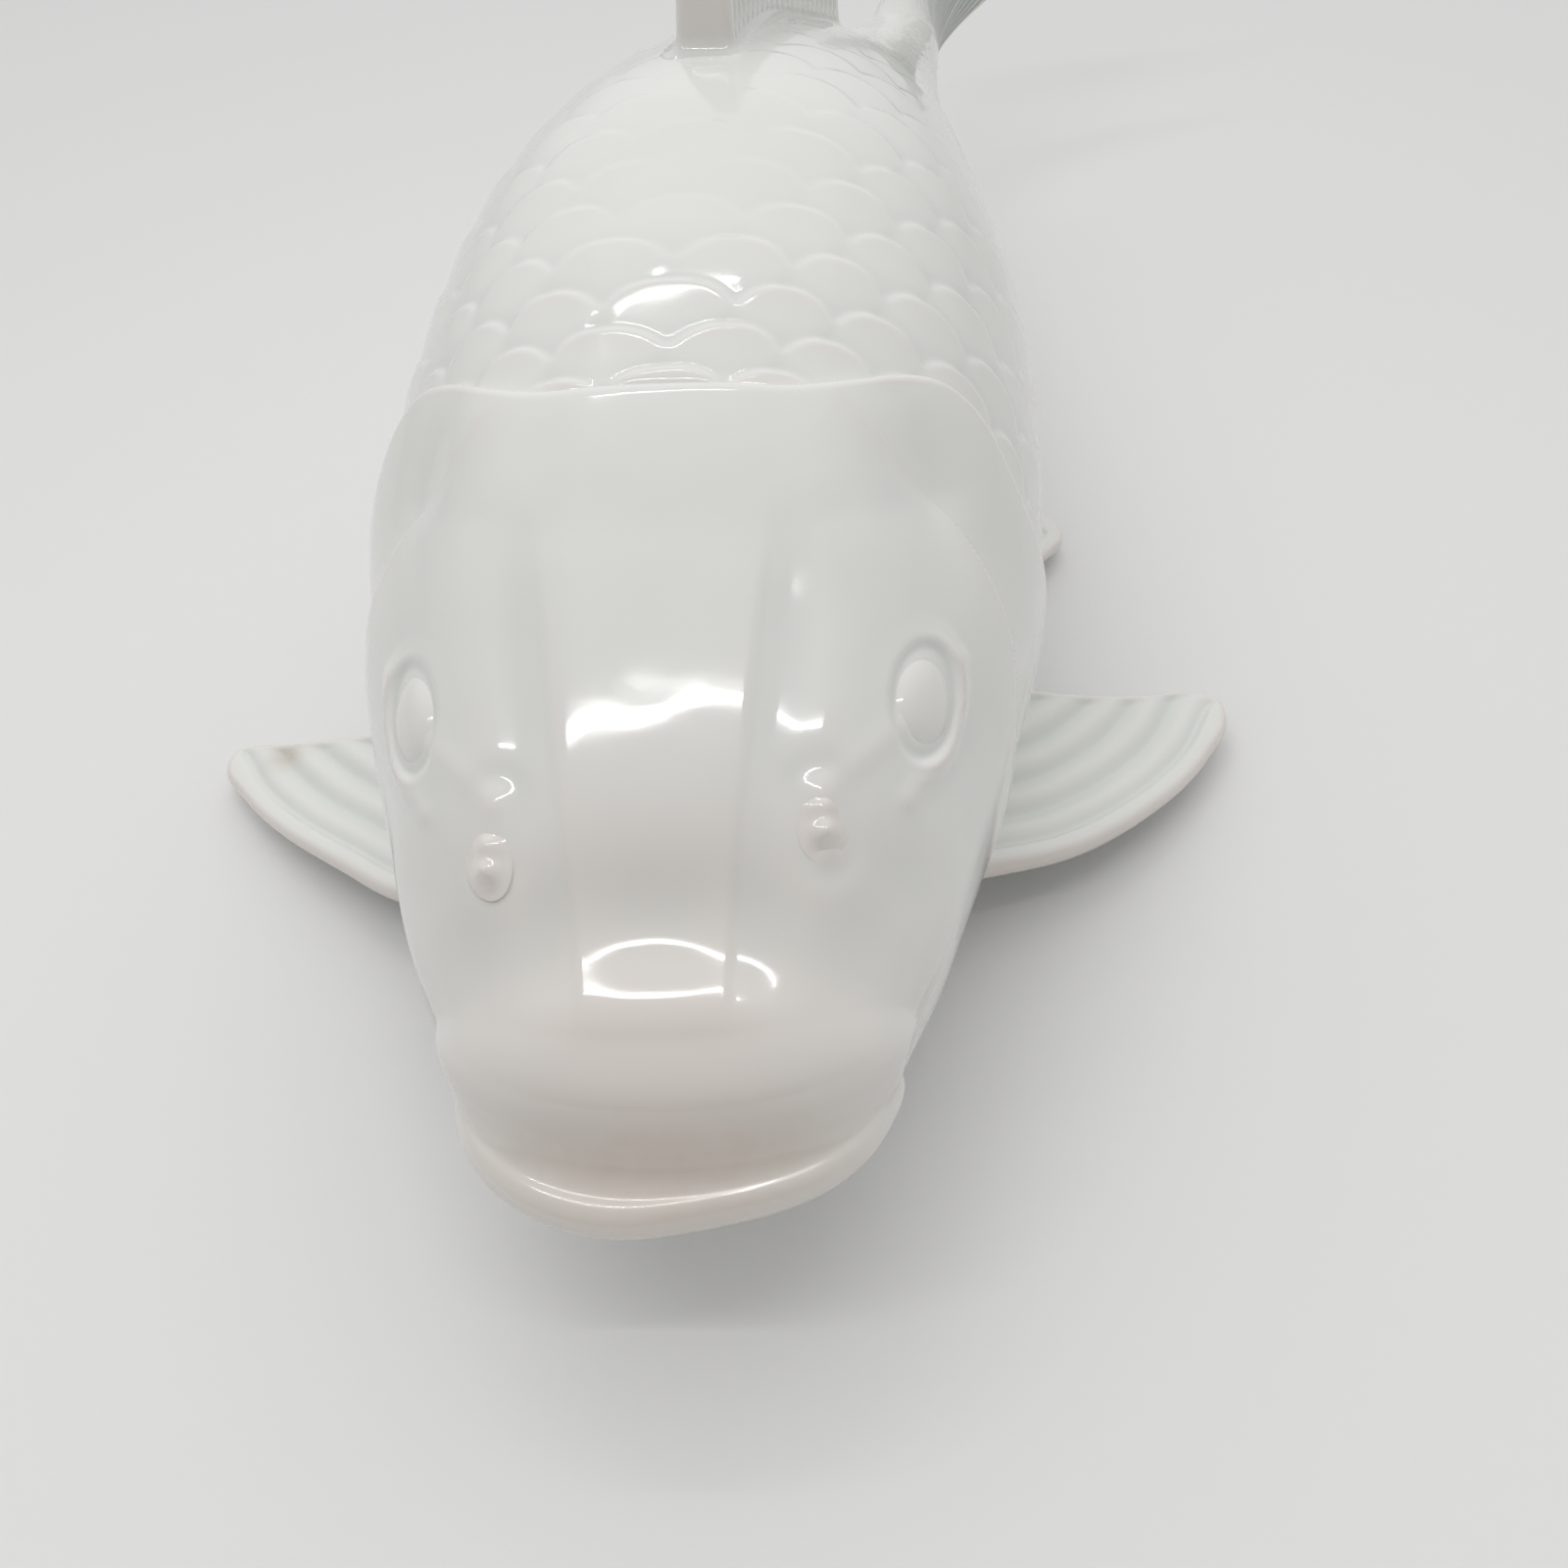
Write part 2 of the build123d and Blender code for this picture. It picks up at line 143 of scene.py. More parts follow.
def across_the_back(place, across, level):
    """A point at a place, so far to the fish's left of the back's curve and so high over the table."""
    x, y, turn = spine(place)
    sides = x + across * np.cos(turn), y - across * np.sin(turn), level
    return np.stack(np.broadcast_arrays(*sides), -1)


def skin(place, angle):
    """Points of the skin: at each place a superellipse, its axes the half width and the reach up or down.

    Across is the half width times the cosine, and up is the reach times the sine, both to the same power.
    """
    half_width, top, widest, underside = station_sizes(place)
    sine = signed_power(np.sin(angle), 2 / SQUARENESS)
    reach = np.where(sine >= 0, top - widest, widest - underside)
    across = half_width * signed_power(np.cos(angle), 2 / SQUARENESS)
    return across_the_back(place, across, widest + reach * sine)


def skin_normal(place, angle):
    """Unit normals of the skin, from the cross product of small steps along and round it."""
    step = 0.4
    angle_step = 0.012
    along = skin(place + step, angle) - skin(place - step, angle)
    around = skin(place, angle + angle_step) - skin(place, angle - angle_step)
    return unit(np.cross(along, around))


def skin_frame(place, degrees, side):
    """A point of the skin, then unit directions towards the tail, up round the skin and outwards."""
    angle = np.radians(degrees)
    step = 2.0
    angle_step = 0.03 * side
    along = unit(skin(place + step, angle) - skin(place - step, angle))
    up = skin(place, angle + angle_step) - skin(place, angle - angle_step)
    up = unit(up - along * (up @ along))
    return skin(place, angle), along, up, np.cross(along, up) * side


def up_from_side(degrees):
    """Degrees up from the nearer side of the fish, for degrees round it that start at its left."""
    return np.where(degrees > 90, 180 - degrees, degrees)


def grid_normals(points):
    """Unit normals of a grid closed round its columns, turned away from the mean of its points.

    Each is the cross product of the differences to the neighbours along the rows and round the columns.
    """
    along = np.gradient(points, axis=0)
    around = np.roll(points, -1, 1) - np.roll(points, 1, 1)
    normal = np.cross(along, around)
    normal /= np.linalg.norm(normal, axis=-1, keepdims=True) + 1e-12
    outward = np.sum((points - points.mean((0, 1))) * normal)
    return normal if outward >= 0 else -normal


def soften(field, rows, columns):
    """A grid field blurred by bells of so many rows and columns, wrapped round the columns."""
    for axis, width in ((0, rows), (1, columns)):
        reach = int(3 * width) + 1
        weights = bump(np.arange(-reach, reach + 1), width)
        weights /= weights.sum()
        pad = [(reach, reach) if a == axis else (0, 0) for a in range(field.ndim)]
        padded = np.pad(field, pad, mode="wrap" if axis else "edge")
        window = np.arange(field.shape[axis])
        field = sum(weight * np.take(padded, window + k, axis) for k, weight in enumerate(weights))
    return field


def through(knots, values, samples):
    """A smooth curve through values at knots, in cubic pieces.

    The slope at a knot is that of the parabola through it and its two neighbours.
    """
    knots, values, samples = (np.asarray(numbers, float) for numbers in (knots, values, samples))
    slopes = np.gradient(values, knots, axis=0)
    index = np.clip(np.searchsorted(knots, samples, side="right") - 1, 0, len(knots) - 2)
    shape = samples.shape + (1,) * (values.ndim - 1)
    span = (knots[index + 1] - knots[index]).reshape(shape)
    t = np.clip((samples - knots[index]).reshape(shape) / span, 0, 1)
    return cubic(t, values[index], slopes[index] * span, values[index + 1], slopes[index + 1] * span)


def lengths_along(points):
    """How far along a chain of points each lies, from 0."""
    steps = np.linalg.norm(np.diff(points, axis=0), axis=-1)
    return np.concatenate([[0.0], np.cumsum(steps)])


def even_curve(points, count, closed=False):
    """Points spread evenly by length along a smooth curve through the given ones."""
    points = np.asarray(points, float)
    if closed:
        points = np.concatenate([points[-3:], points, points[:4]])
    knots = lengths_along(points)
    start, end = (knots[3], knots[-4]) if closed else (knots[0], knots[-1])
    fine = through(knots, points, np.linspace(start, end, 4000))
    length = lengths_along(fine)
    wanted = np.linspace(0, length[-1], count + 1 if closed else count)[:count]
    return np.stack([np.interp(wanted, length, column) for column in fine.T], -1)


def distance_to_line(points, line):
    """The shortest distance of each point to a chain of straight runs."""
    nearest = np.full(points.shape[:-1], np.inf)
    for start, end in zip(line[:-1], line[1:]):
        run = end - start
        t = np.clip(((points - start) @ run) / (run @ run), 0, 1)
        gap = np.linalg.norm(points - start - t[..., None] * run, axis=-1)
        nearest = np.minimum(nearest, gap)
    return nearest


def distance_to_rim(plan, outline, count):
    """The shortest distance of each point of a plan to a smooth closed outline."""
    rim = even_curve(outline, count, closed=True)
    return distance_to_line(plan, np.concatenate([rim, rim[:1]]))


def skin_line(places_and_degrees, side):
    """A smooth line on the skin through places and angles, on the fish's left for side 1 or right for -1."""
    place, degrees = even_curve(places_and_degrees, 40).T
    return skin(place, np.radians(degrees if side > 0 else 180 - degrees))


def soft_line(points, places_and_degrees, side, width, gap=0.0):
    """A ridge of height 1 over a line on the skin or, with a gap, at that distance to both its sides."""
    return bump(distance_to_line(points, skin_line(places_and_degrees, side)) - gap, width)


def waves(points, length, seed):
    """A soft uneven field between about -1 and 1: a sum of seven sine waves in seeded directions."""
    chance = np.random.default_rng(seed)
    total = np.zeros(points.shape[:-1])
    for _ in range(7):
        direction = unit(chance.normal(size=3))
        stretch = chance.uniform(0.7, 1.5)
        total += np.sin(points @ direction * 2 * np.pi / (length * stretch) + chance.uniform(0, 2 * np.pi))
    return total / 3.5


def round_angles(count, belly_share):
    """Angles round the body, thinned out to a share of their density under the belly."""
    fine = np.linspace(-np.pi / 2, 1.5 * np.pi, 4001)
    density = belly_share + (1 - belly_share) * smooth((np.sin(fine) + 0.75) / 0.35)
    total = np.concatenate([[0.0], np.cumsum((density[1:] + density[:-1]) / 2)])
    return np.interp(np.arange(count) / count * total[-1], total, fine)


def pole(point, grid):
    """A row for a grid, with all its points at one place."""
    return np.broadcast_to(point, grid[:1].shape)


def with_more_rows(field, before, after):
    """A grid field with its first and last rows repeated so many times."""
    return np.pad(field, ((before, after), (0, 0)), mode="edge")


def add_object(name, data):
    """A new object of the scene that carries this data."""
    thing = bpy.data.objects.new(name, data)
    bpy.context.scene.collection.objects.link(thing)
    return thing


def make_piece(name, points, finish, nodes, **fields):
    """A smooth closed mesh from a grid of millimetre points, its last column joined to its first.

    Points that fall together are merged, which closes a pole or a seam, and the faces are turned outwards.
    """
    rows, columns = points.shape[:2]
    mesh = bpy.data.meshes.new(name)
    mesh.vertices.add(rows * columns)
    mesh.vertices.foreach_set("co", (points * MM).astype(np.float32).ravel())
    here = np.arange(columns)
    there = (here + 1) % columns
    low = np.arange(rows - 1)[:, None] * columns
    quads = np.stack([low + here, low + there, low + columns + there, low + columns + here], -1)
    quads = quads.reshape(-1, 4).astype(np.int32)
    mesh.loops.add(quads.size)
    mesh.loops.foreach_set("vertex_index", quads.ravel())
    mesh.polygons.add(len(quads))
    mesh.polygons.foreach_set("loop_start", np.arange(0, quads.size, 4, dtype=np.int32))
    mesh.update(calc_edges=True)
    for field, values in fields.items():
        layer = mesh.attributes.new(field, "FLOAT", "POINT")
        layer.data.foreach_set("value", np.broadcast_to(values, (rows, columns)).astype(np.float32).ravel())
    form = bmesh.new()
    form.from_mesh(mesh)
    bmesh.ops.remove_doubles(form, verts=form.verts, dist=2e-6)
    if form.calc_volume(signed=True) < 0:
        bmesh.ops.reverse_faces(form, faces=form.faces)
    form.to_mesh(mesh)
    form.free()
    mesh.shade_smooth()
    mesh.materials.append(finish)
    piece = add_object(name, mesh)
    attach(piece, "root")
    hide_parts(*nodes)


class Value:
    """A shader socket that carries a number. An expression on it adds Math nodes."""

    def __init__(self, tree, socket):
        self.tree = tree
        self.socket = socket

    def math(self, operation, left, right):
        node = self.tree.nodes.new("ShaderNodeMath")
        node.operation = operation
        for socket, value in zip(node.inputs, (left, right)):
            if isinstance(value, Value):
                self.tree.links.new(value.socket, socket)
            else:
                socket.default_value = value
        return Value(self.tree, node.outputs[0])

    def __add__(self, other):
        return self.math("ADD", self, other)

    def __radd__(self, other):
        return self.math("ADD", other, self)

    def __rsub__(self, other):
        return self.math("SUBTRACT", other, self)

    def __mul__(self, other):
        return self.math("MULTIPLY", self, other)

    def __rmul__(self, other):
        return self.math("MULTIPLY", other, self)

    def __gt__(self, other):
        return self.math("GREATER_THAN", self, other)

    def __lt__(self, other):
        return self.math("LESS_THAN", self, other)


class Finish:
    """The node tree of a material or a world, built node by node."""

    def __init__(self, holder):
        self.holder = holder
        holder.use_nodes = True
        self.tree = holder.node_tree
        self.tree.nodes.clear()

    def node(self, kind, settings=None, output=0, **sockets):
        """Adds a node, sets its settings, then values or links its sockets, named with _ for a space."""
        node = self.tree.nodes.new("ShaderNode" + kind)
        for setting, value in (settings or {}).items():
            setattr(node, setting, value)
        for name, value in sockets.items():
            socket = node.inputs[int(name[1:])] if name[0] == "_" else node.inputs[name.replace("_", " ")]
            if isinstance(value, Value):
                self.tree.links.new(value.socket, socket)
            else:
                socket.default_value = value
        return Value(self.tree, node.outputs[output]) if node.outputs else None

    def mix(self, factor, first, second):
        """Goes from the first colour to the second as the factor goes from 0 to 1.

        The colour sockets of a Mix node share their names with others, so they go by number.
        """
        settings = {"data_type": "RGBA", "clamp_factor": True}
        return self.node("Mix", settings, output=2, _0=factor, _6=first, _7=second)

    def noise(self, place, scale, detail=2.0):
        """Soft noise between 0 and 1 with so many waves to a metre."""
        return self.node("TexNoise", Vector=place, Scale=scale, Detail=detail)


def glaze_finish():
    """Clear celadon-tinged glaze over white porcelain.

    It pools greyer green in the hollows, thins to a warm cream on the edges and carries a few pinholes. The
    cream also paints warm light on the front of the head, and a brown paints shade in the hollow over the lip
    as well as marking a stain on one fin.
    """
    white = (0.84, 0.838, 0.805, 1)
    off_white = (0.82, 0.823, 0.79, 1)
    grey_green = (0.61, 0.66, 0.62, 1)
    warm_cream = (0.83, 0.755, 0.70, 1)
    brown = (0.42, 0.30, 0.18, 1)
    dark_brown = (0.34, 0.30, 0.25, 1)
    glaze = Finish(bpy.data.materials.new("white_glaze"))
    place = glaze.node("TexCoord", output="Object")
    names = ("pool", "thin", "stain")
    pool, thin, stain = (glaze.node("Attribute", {"attribute_name": name}, output="Fac") for name in names)
    cloud = glaze.noise(place, 34.0)
    grain = glaze.noise(place, 420.0, 3.0)
    body = glaze.mix(cloud, white, off_white)
    pooled = glaze.mix(pool, body, grey_green)
    # Cream where the glaze runs thin on edges, and painted warm light on the front of the head
    thinned = glaze.mix(thin, pooled, warm_cream)
    # Brown for a real stain near one fin's tip, and painted shade in the hollow over the lip
    stained = glaze.mix(stain * (0.35 + 0.3 * grain), thinned, brown)
    speck = glaze.node("TexVoronoi", {"feature": "F1"}, Vector=place, Scale=62.0)
    rarity = glaze.noise(place, 23.0)
    pinhole = (speck < 0.018) * (rarity > 0.60)
    colour = glaze.mix(pinhole, stained, dark_brown)
    swell = glaze.node("Bump", Strength=1.0, Distance=0.00025, Height=glaze.noise(place, 75.0, 1.0))
    relief = glaze.node("Bump", Strength=0.35, Distance=0.00002, Height=grain, Normal=swell)
    shader = glaze.node(
        "BsdfPrincipled",
        Base_Color=colour,
        Roughness=0.055 + 0.05 * cloud + 0.03 * grain + 0.25 * stain,
        Normal=relief,
        IOR=1.52,
        Coat_Weight=0.35,
        Coat_Roughness=0.03,
    )
    glaze.node("OutputMaterial", Surface=shader)
    return glaze.holder


def bisque_finish():
    """Bare fired clay where the glaze was wiped from the foot: matt, warm and faintly gritty."""
    bisque = Finish(bpy.data.materials.new("bare_foot"))
    place = bisque.node("TexCoord", output="Object")
    grain = bisque.noise(place, 900.0, 4.0)
    wear = bisque.noise(place, 60.0, 4.0)
    colour = bisque.mix(wear, (0.72, 0.69, 0.63, 1), (0.55, 0.51, 0.45, 1))
    colour = bisque.mix(0.35 * grain, colour, (0.78, 0.76, 0.71, 1))
    relief = bisque.node("Bump", Strength=0.6, Distance=0.00012, Height=grain)
    shader = bisque.node("BsdfPrincipled", Base_Color=colour, Roughness=0.7 + 0.2 * wear, Normal=relief)
    bisque.node("OutputMaterial", Surface=shader)
    return bisque.holder


def table_finish():
    """Plain pale floor, matt."""
    table = Finish(bpy.data.materials.new("pale_floor"))
    place = table.node("TexCoord", output="Object")
    cloud = table.noise(place, 5.0)
    colour = table.mix(cloud, (0.855, 0.852, 0.846, 1), (0.845, 0.842, 0.836, 1))
    shader = table.node("BsdfPrincipled", Base_Color=colour, Roughness=0.85)
    table.node("OutputMaterial", Surface=shader)
    return table.holder


glaze = glaze_finish()
bisque = bisque_finish()


def make_glazed(label, points, pool, thin, stain=0.0):
    """The glazed piece that stands in for the solid of its label."""
    make_piece(f"{label}_glazed", points, glaze, [label], pool=pool, thin=thin, stain=stain)


# The rear edge of the hood and gill cover and the front line of the gill cover: place, and degrees up from
# the side
REAR_EDGE = np.array(
    [
        (62.0, -35.0), (66.0, -33.0), (72.0, -27.0), (77.0, -18.0), (80.0, -9.0),
        (80.5, 0.0), (79.0, 10.5), (78.0, 19.5), (79.0, 29.0), (81.0, 37.5),
        (81.0, 47.5), (78.5, 55.5), (75.5, 62.0), (73.0, 70.0), (71.8, 82.0),
        (71.6, 90.0),
    ]
)
FRONT_LINE = np.array(
    [
        (59.0, -35.0), (56.0, -31.0), (52.8, -24.0), (51.6, -15.0), (52.4, -5.0),
        (54.2, 3.0), (56.5, 11.0), (59.5, 19.0), (61.5, 28.0), (63.5, 37.0),
        (65.0, 46.5), (67.5, 55.0), (70.0, 62.0), (72.0, 68.0),
    ]
)


def rear_edge(degrees):
    """Place of the free rear edge at an angle up from the side."""
    return through(REAR_EDGE[:, 1], REAR_EDGE[:, 0], degrees)


def front_line(degrees):
    """Place of the line where the cheek ends and the gill cover begins."""
    return through(FRONT_LINE[:, 1], FRONT_LINE[:, 0], degrees)


def edge_rise(degrees):
    """How far the free edge stands over the scales: about 1.3 mm at the nape, 2.4 mm on the gill covers."""
    return 2.4 - 1.1 * smooth((degrees - 52) / 26)


def hood_rise(place, degrees):
    """Rise of the nape and upper gill cover, growing over the last 18 mm to the free rear edge."""
    return edge_rise(degrees) * smooth((place - rear_edge(degrees) + 18) / 18) * smooth(degrees / 15)


def merging(degrees):
    """How far up the side the cheek has run together with the nape, from 0 to 1."""
    return smooth((degrees - 24) / 22)


def step_share(degrees):
    """How sharp the step behind the cheek is: whole on the side, gone where the cheek runs into the nape."""
    return (1 - merging(degrees)) * smooth((degrees + 38) / 14)


def head_field(place, degrees):
    """Rise of the head: the cheek swells over 24 mm to the line of the gill cover, then dives under it.

    Where there is no step, the dive starts a little behind the line, so the two castings meet at a grazing
    angle and read as one surface.
    """
    inside = place - front_line(degrees)
    share = step_share(degrees)
    free = merging(degrees)
    rise = share * 1.7 * smooth((inside + 24) / 24) + (1 - share) * hood_rise(place, degrees)
    under = (1 - smooth((degrees - 58) / 6)) * smooth((degrees + 34) / 8)
    return rise - 2.3 * under * smooth((inside - 1.6 * free) / (2.0 + 1.6 * free))


def cover_field(place, degrees):
    """Rise of the gill cover: low behind the cheek and highest at its free edge.

    It dives where it meets the head.
    """
    inside = place - front_line(degrees)
    reach = np.maximum(rear_edge(degrees) - front_line(degrees), 1.0)
    plate = 0.45 + (edge_rise(degrees) - 0.45) * smooth(inside / reach)
    share = step_share(degrees)
    free = merging(degrees)
    outer = np.where(degrees > 0, hood_rise(place, degrees) + 0.006, -0.8)
    front_dive = 1.6 * free * np.clip(-inside / 3, 0, 1) ** 3
    top_dive = 1.6 * np.clip((degrees - 64) / 6, 0, 1) ** 3
    return share * plate + (1 - share) * outer - front_dive - top_dive


def dimple(points, side):
    """The thumb-like hollow under the nape ridge."""
    return -0.75 * soft_line(points, [(76.0, 54.0), (72.5, 49.0), (68.5, 44.0)], side, 3.0)


def eye_frame(side):
    """Middle of an eye on the skin, then unit directions towards the tail, up round the skin and outwards."""
    return skin_frame(0.171 * BODY_LENGTH, 38.5 if side > 0 else 141.5, side)


def forehead_plate(points, place):
    """The flat plate down the forehead, a little proud of two shallow channels that end on the snout."""
    half_plate = through([2.0, 10.0, 22.0, 34.0, 50.0, 70.0], [7.0, 7.8, 9.0, 10.6, 12.4, 14.5], place)
    beyond = np.abs(points[..., 0] + 0.5) - half_plate
    fade = smooth((place - 8) / 8) * (1 - smooth((place - 44) / 18))
    proud = 0.26 * (1 - smooth((beyond + 0.7) / 1.4))
    channel = -0.55 * bump(beyond - 3.4, 2.5)
    return fade * (proud + channel)


# The free edges curl under on a squashed arc
EDGE_RADIUS = 1.5
EDGE_TURN = np.radians(150)
EDGE_SQUASH = 0.75


def head_points():
    """The head casting from inside its nape edge to the inside of its mouth.

    Columns keep their angle round the body. Each comes up round the free edge, runs forward over the skin,
    then on a smooth curve round the snout, through the hollow over the lip and over the lip's crest, rim and
    inner edge, and ends deep inside the mouth.
    """
    columns = 366
    skin_rows = 149
    lip_squareness = 2.155
    inside_mouth = (0.0, -84.0, 32.4)
    angle = round_angles(columns, 0.4)
    degrees = up_from_side(np.degrees(angle))
    share = smooth((degrees - 50) / 8)
    nape = share * rear_edge(np.maximum(degrees, 45)) + (1 - share) * SEAM_PLACE
    start = nape - EDGE_RADIUS
    sine = np.abs(np.sin(angle))
    snout = 17 - 8 * sine
    turn = np.linspace(EDGE_TURN, 0, 12)[:, None]
    edge = start + EDGE_RADIUS * np.sin(turn)
    u = np.linspace(0, 1, skin_rows + 1)[1:, None]
    place = np.concatenate([edge, start + (snout - start) * u])
    drop = np.concatenate([EDGE_SQUASH * EDGE_RADIUS * (1 - np.cos(turn)), np.zeros((skin_rows, 1))])
    body = skin(place, angle)

    # Rows past the skin: y and z on the middle line above, y and z on the middle line below, x y z at the
    # mouth corner, and how sharply the row bows forward
    rows = [
        (-97.0, 45.7, -94.5, 22.4, 27.0, -84.4, 40.6, 1.25),
        (-99.4, 41.6, -97.6, 23.4, 26.2, -85.6, 39.6, 1.2),
        (-100.9, 39.0, -99.6, 25.2, 25.3, -86.5, 38.7, 1.1),
        (-102.6, 37.5, -100.8, 27.0, 24.5, -87.2, 37.9, 1.02),
        (-104.2, 36.9, -101.4, 28.4, 24.5, -88.0, 37.2, 0.97),
        (-105.2, 35.7, -101.6, 29.6, 24.7, -88.8, 36.5, 0.95),
        (-105.6, 34.4, -101.3, 30.6, 24.6, -89.3, 35.8, 0.94),
        (-105.2, 33.3, -100.3, 31.2, 24.0, -89.5, 35.1, 0.95),
        (-103.4, 32.8, -98.4, 31.6, 23.2, -89.2, 34.7, 1.0),
        (-99.0, 32.6, -95.5, 31.9, 21.6, -88.4, 34.2, 1.0),
        (-93.0, 32.4, -91.0, 32.1, 18.0, -86.6, 33.5, 1.0),
    ]
    cosine = signed_power(np.cos(angle), 2 / lip_squareness)
    above = np.sin(angle) >= 0
    narrowing = np.where(above, 1.0, 1 - 0.17 * sine)
    control = [body[-7], body[-4], body[-1]]
    for number, (top_y, top_z, low_y, low_z, corner_x, corner_y, corner_z, bow) in enumerate(rows):
        x = corner_x * narrowing * cosine
        middle_y = np.where(above, top_y, low_y)
        middle_z = np.where(above, top_z, low_z)
        # The lips were pressed a little askew
        skew = 1.2 * smooth(number / 6) * np.tanh(x / 8) * (1 - (x / 28) ** 2)
        y = corner_y + (middle_y - corner_y) * sine**bow + skew
        z = corner_z + (middle_z - corner_z) * sine**0.93
        control.append(np.stack([x, y, z], -1))
    control.append(np.broadcast_to(inside_mouth, body[-1].shape))
    control = np.array(control)
    steps = np.linalg.norm(np.diff(control, axis=0), axis=-1).mean(1)
    knots = np.concatenate([[0.0], np.cumsum(steps)])
    lip_end = knots[-3]
    t = np.concatenate([np.linspace(knots[2], lip_end, 92)[1:], np.linspace(lip_end, knots[-1], 9)[1:]])
    front = through(knots, control, t)
    points = np.concatenate([body, front])
    normal = np.concatenate([skin_normal(place, angle), grid_normals(points)[len(place) :]])
    # The two kinds of normal are blended over a few rows where they meet
    evened = np.stack([soften(normal[..., axis], 9, 1) for axis in range(3)], -1)
    row = np.arange(len(points))[:, None, None]
    meeting = bump(row - len(place), 10.0)
    normal = unit(normal + (evened - normal) * meeting)
    forward = np.concatenate([place, snout - (t - knots[2])[:, None]])
    drop = np.concatenate([drop, np.zeros((len(t), 1))])
    return points, normal, forward, degrees, drop


# Swellings and dips on the middle line of the snout and forehead: height, place, length and half width
SNOUT_SWELLS = [(2.6, 9, 4.0, 15), (-2.1, 18, 4.4, 16), (-0.4, 46, 8, 8)]
# Rings round an eye: height, radius in shares of the eye's, width, and whether the ring fades above the eye
EYE_RINGS = [(0.50, 1.20, 0.085, 1), (0.22, 1.42, 0.10, 1), (-0.26, 1.0, 0.09, 0), (0.35, 0.0, 1.3, 0)]
# Soft folds on each side of the head: height, width, distance to both sides of a line, and the line itself in
# places and degrees. They are the fold under the eye, the brow, the ridge above it, the groove round the
# nostril and the hollow in front of the eye.
FACE_FOLDS = [
    (0.35, 1.0, 0.0, [(50.0, 32.0), (46.5, 29.5), (41.5, 29.5), (37.0, 33.0), (32.5, 38.5)]),
    (0.22, 1.1, 0.0, [(39.0, 44.0), (36.0, 49.0), (32.5, 55.0), (30.0, 58.5)]),
    (0.45, 4.5, 0.0, [(60.0, 63.0), (50.0, 58.0), (38.0, 57.0), (28.0, 62.0), (18.0, 66.0)]),
    (-0.28, 1.2, 2.4, [(30.5, 60.5), (25.0, 56.0)]),
    (-0.9, 4.5, 0.0, [(24.0, 33.0), (15.5, 38.0)]),
]


def head_rise(points, place, degrees):
    """What stands over or under the plain skin of the head, in millimetres along its normals."""
    rise = head_field(np.maximum(place, 2), degrees)
    rise += forehead_plate(points, place)
    across = points[..., 0] + 0.4
    for height, middle, length, half_width in SNOUT_SWELLS:
        rise += height * bump(place - middle, length) * bump(across, half_width) * (degrees > 0)
    for side in (1, -1):
        rise += dimple(points, side)
        middle, along, up, outward = eye_frame(side)
        away = points - middle
        ahead = away @ along
        above = away @ up
        ring = np.hypot(ahead / 6.4, above / 4.3)
        near = bump(away @ outward, 8.0)
        fading = 0.75 * (1 - smooth((2.0 - above) / 5))
        for height, radius, width, fades in EYE_RINGS:
            rise += near * (1 - fades * fading) * height * bump(ring - radius, width)
        for height, width, gap, line in FACE_FOLDS:
            rise += height * soft_line(points, line, side, width, gap)
        # A dent at each corner of the mouth, and a swelling of the lip before it
        corner = np.array([side * 25.6, -86.2, 39.2])
        rise -= 0.9 * bump(np.linalg.norm(points - corner, axis=-1), 1.6)
        swell = np.array([side * 25.0, -89.0, 35.8])
        rise += (0.65 if side > 0 else 0.3) * bump(np.linalg.norm(points - swell, axis=-1), 2.4)
    return rise


def make_head():
    """The head casting, its rear edge rounded over the scales and closed inside the body."""
    points, normal, place, degrees, drop = head_points()
    rise = head_rise(points, place, degrees) + 0.10 * waves(points, length=26, seed=3)
    # The last rows lie in the mouth and stay plain
    rise[-12:] = 0.0
    shaped = points + normal * (rise - drop)[..., None]
    core_level = 44.0
    inside = pole(across_the_back(SEAM_PLACE - 3.0, 0.0, core_level), shaped)
    shaped = np.concatenate([inside, 0.5 * shaped[:1] + 0.5 * inside, shaped])
    shaped[..., 2] = np.maximum(shaped[..., 2], CLEAR_OF_TABLE)
    across, back, up = np.moveaxis(shaped, -1, 0)
    level = with_more_rows(rise, 2, 0)
    pool = np.clip(0.8 * (soften(level, 5, 5) - level), 0, 1)
    # Painted warm light: the front of the head is tinted cream, partly for warm light falling from in front
    # and partly as the glaze's own warmth
    forward = smooth((-back - 52) / 50) * smooth((up - 20) / 20)
    warm_tint_and_light = 0.75 * forward * bump(across, 19)
    thin = np.clip(0.5 * (level - soften(level, 4, 4)) + warm_tint_and_light, 0, 1)
    # Painted shade: the hollow over the lip is darkened brown, where shade falls
    shade = 0.5 * bump(up - 40.5, 4.0) * smooth((-back - 93) / 6) * bump(across, 20)
    make_piece("head_glazed", shaped, glaze, ["head_casting"], pool=pool, thin=thin, stain=shade)


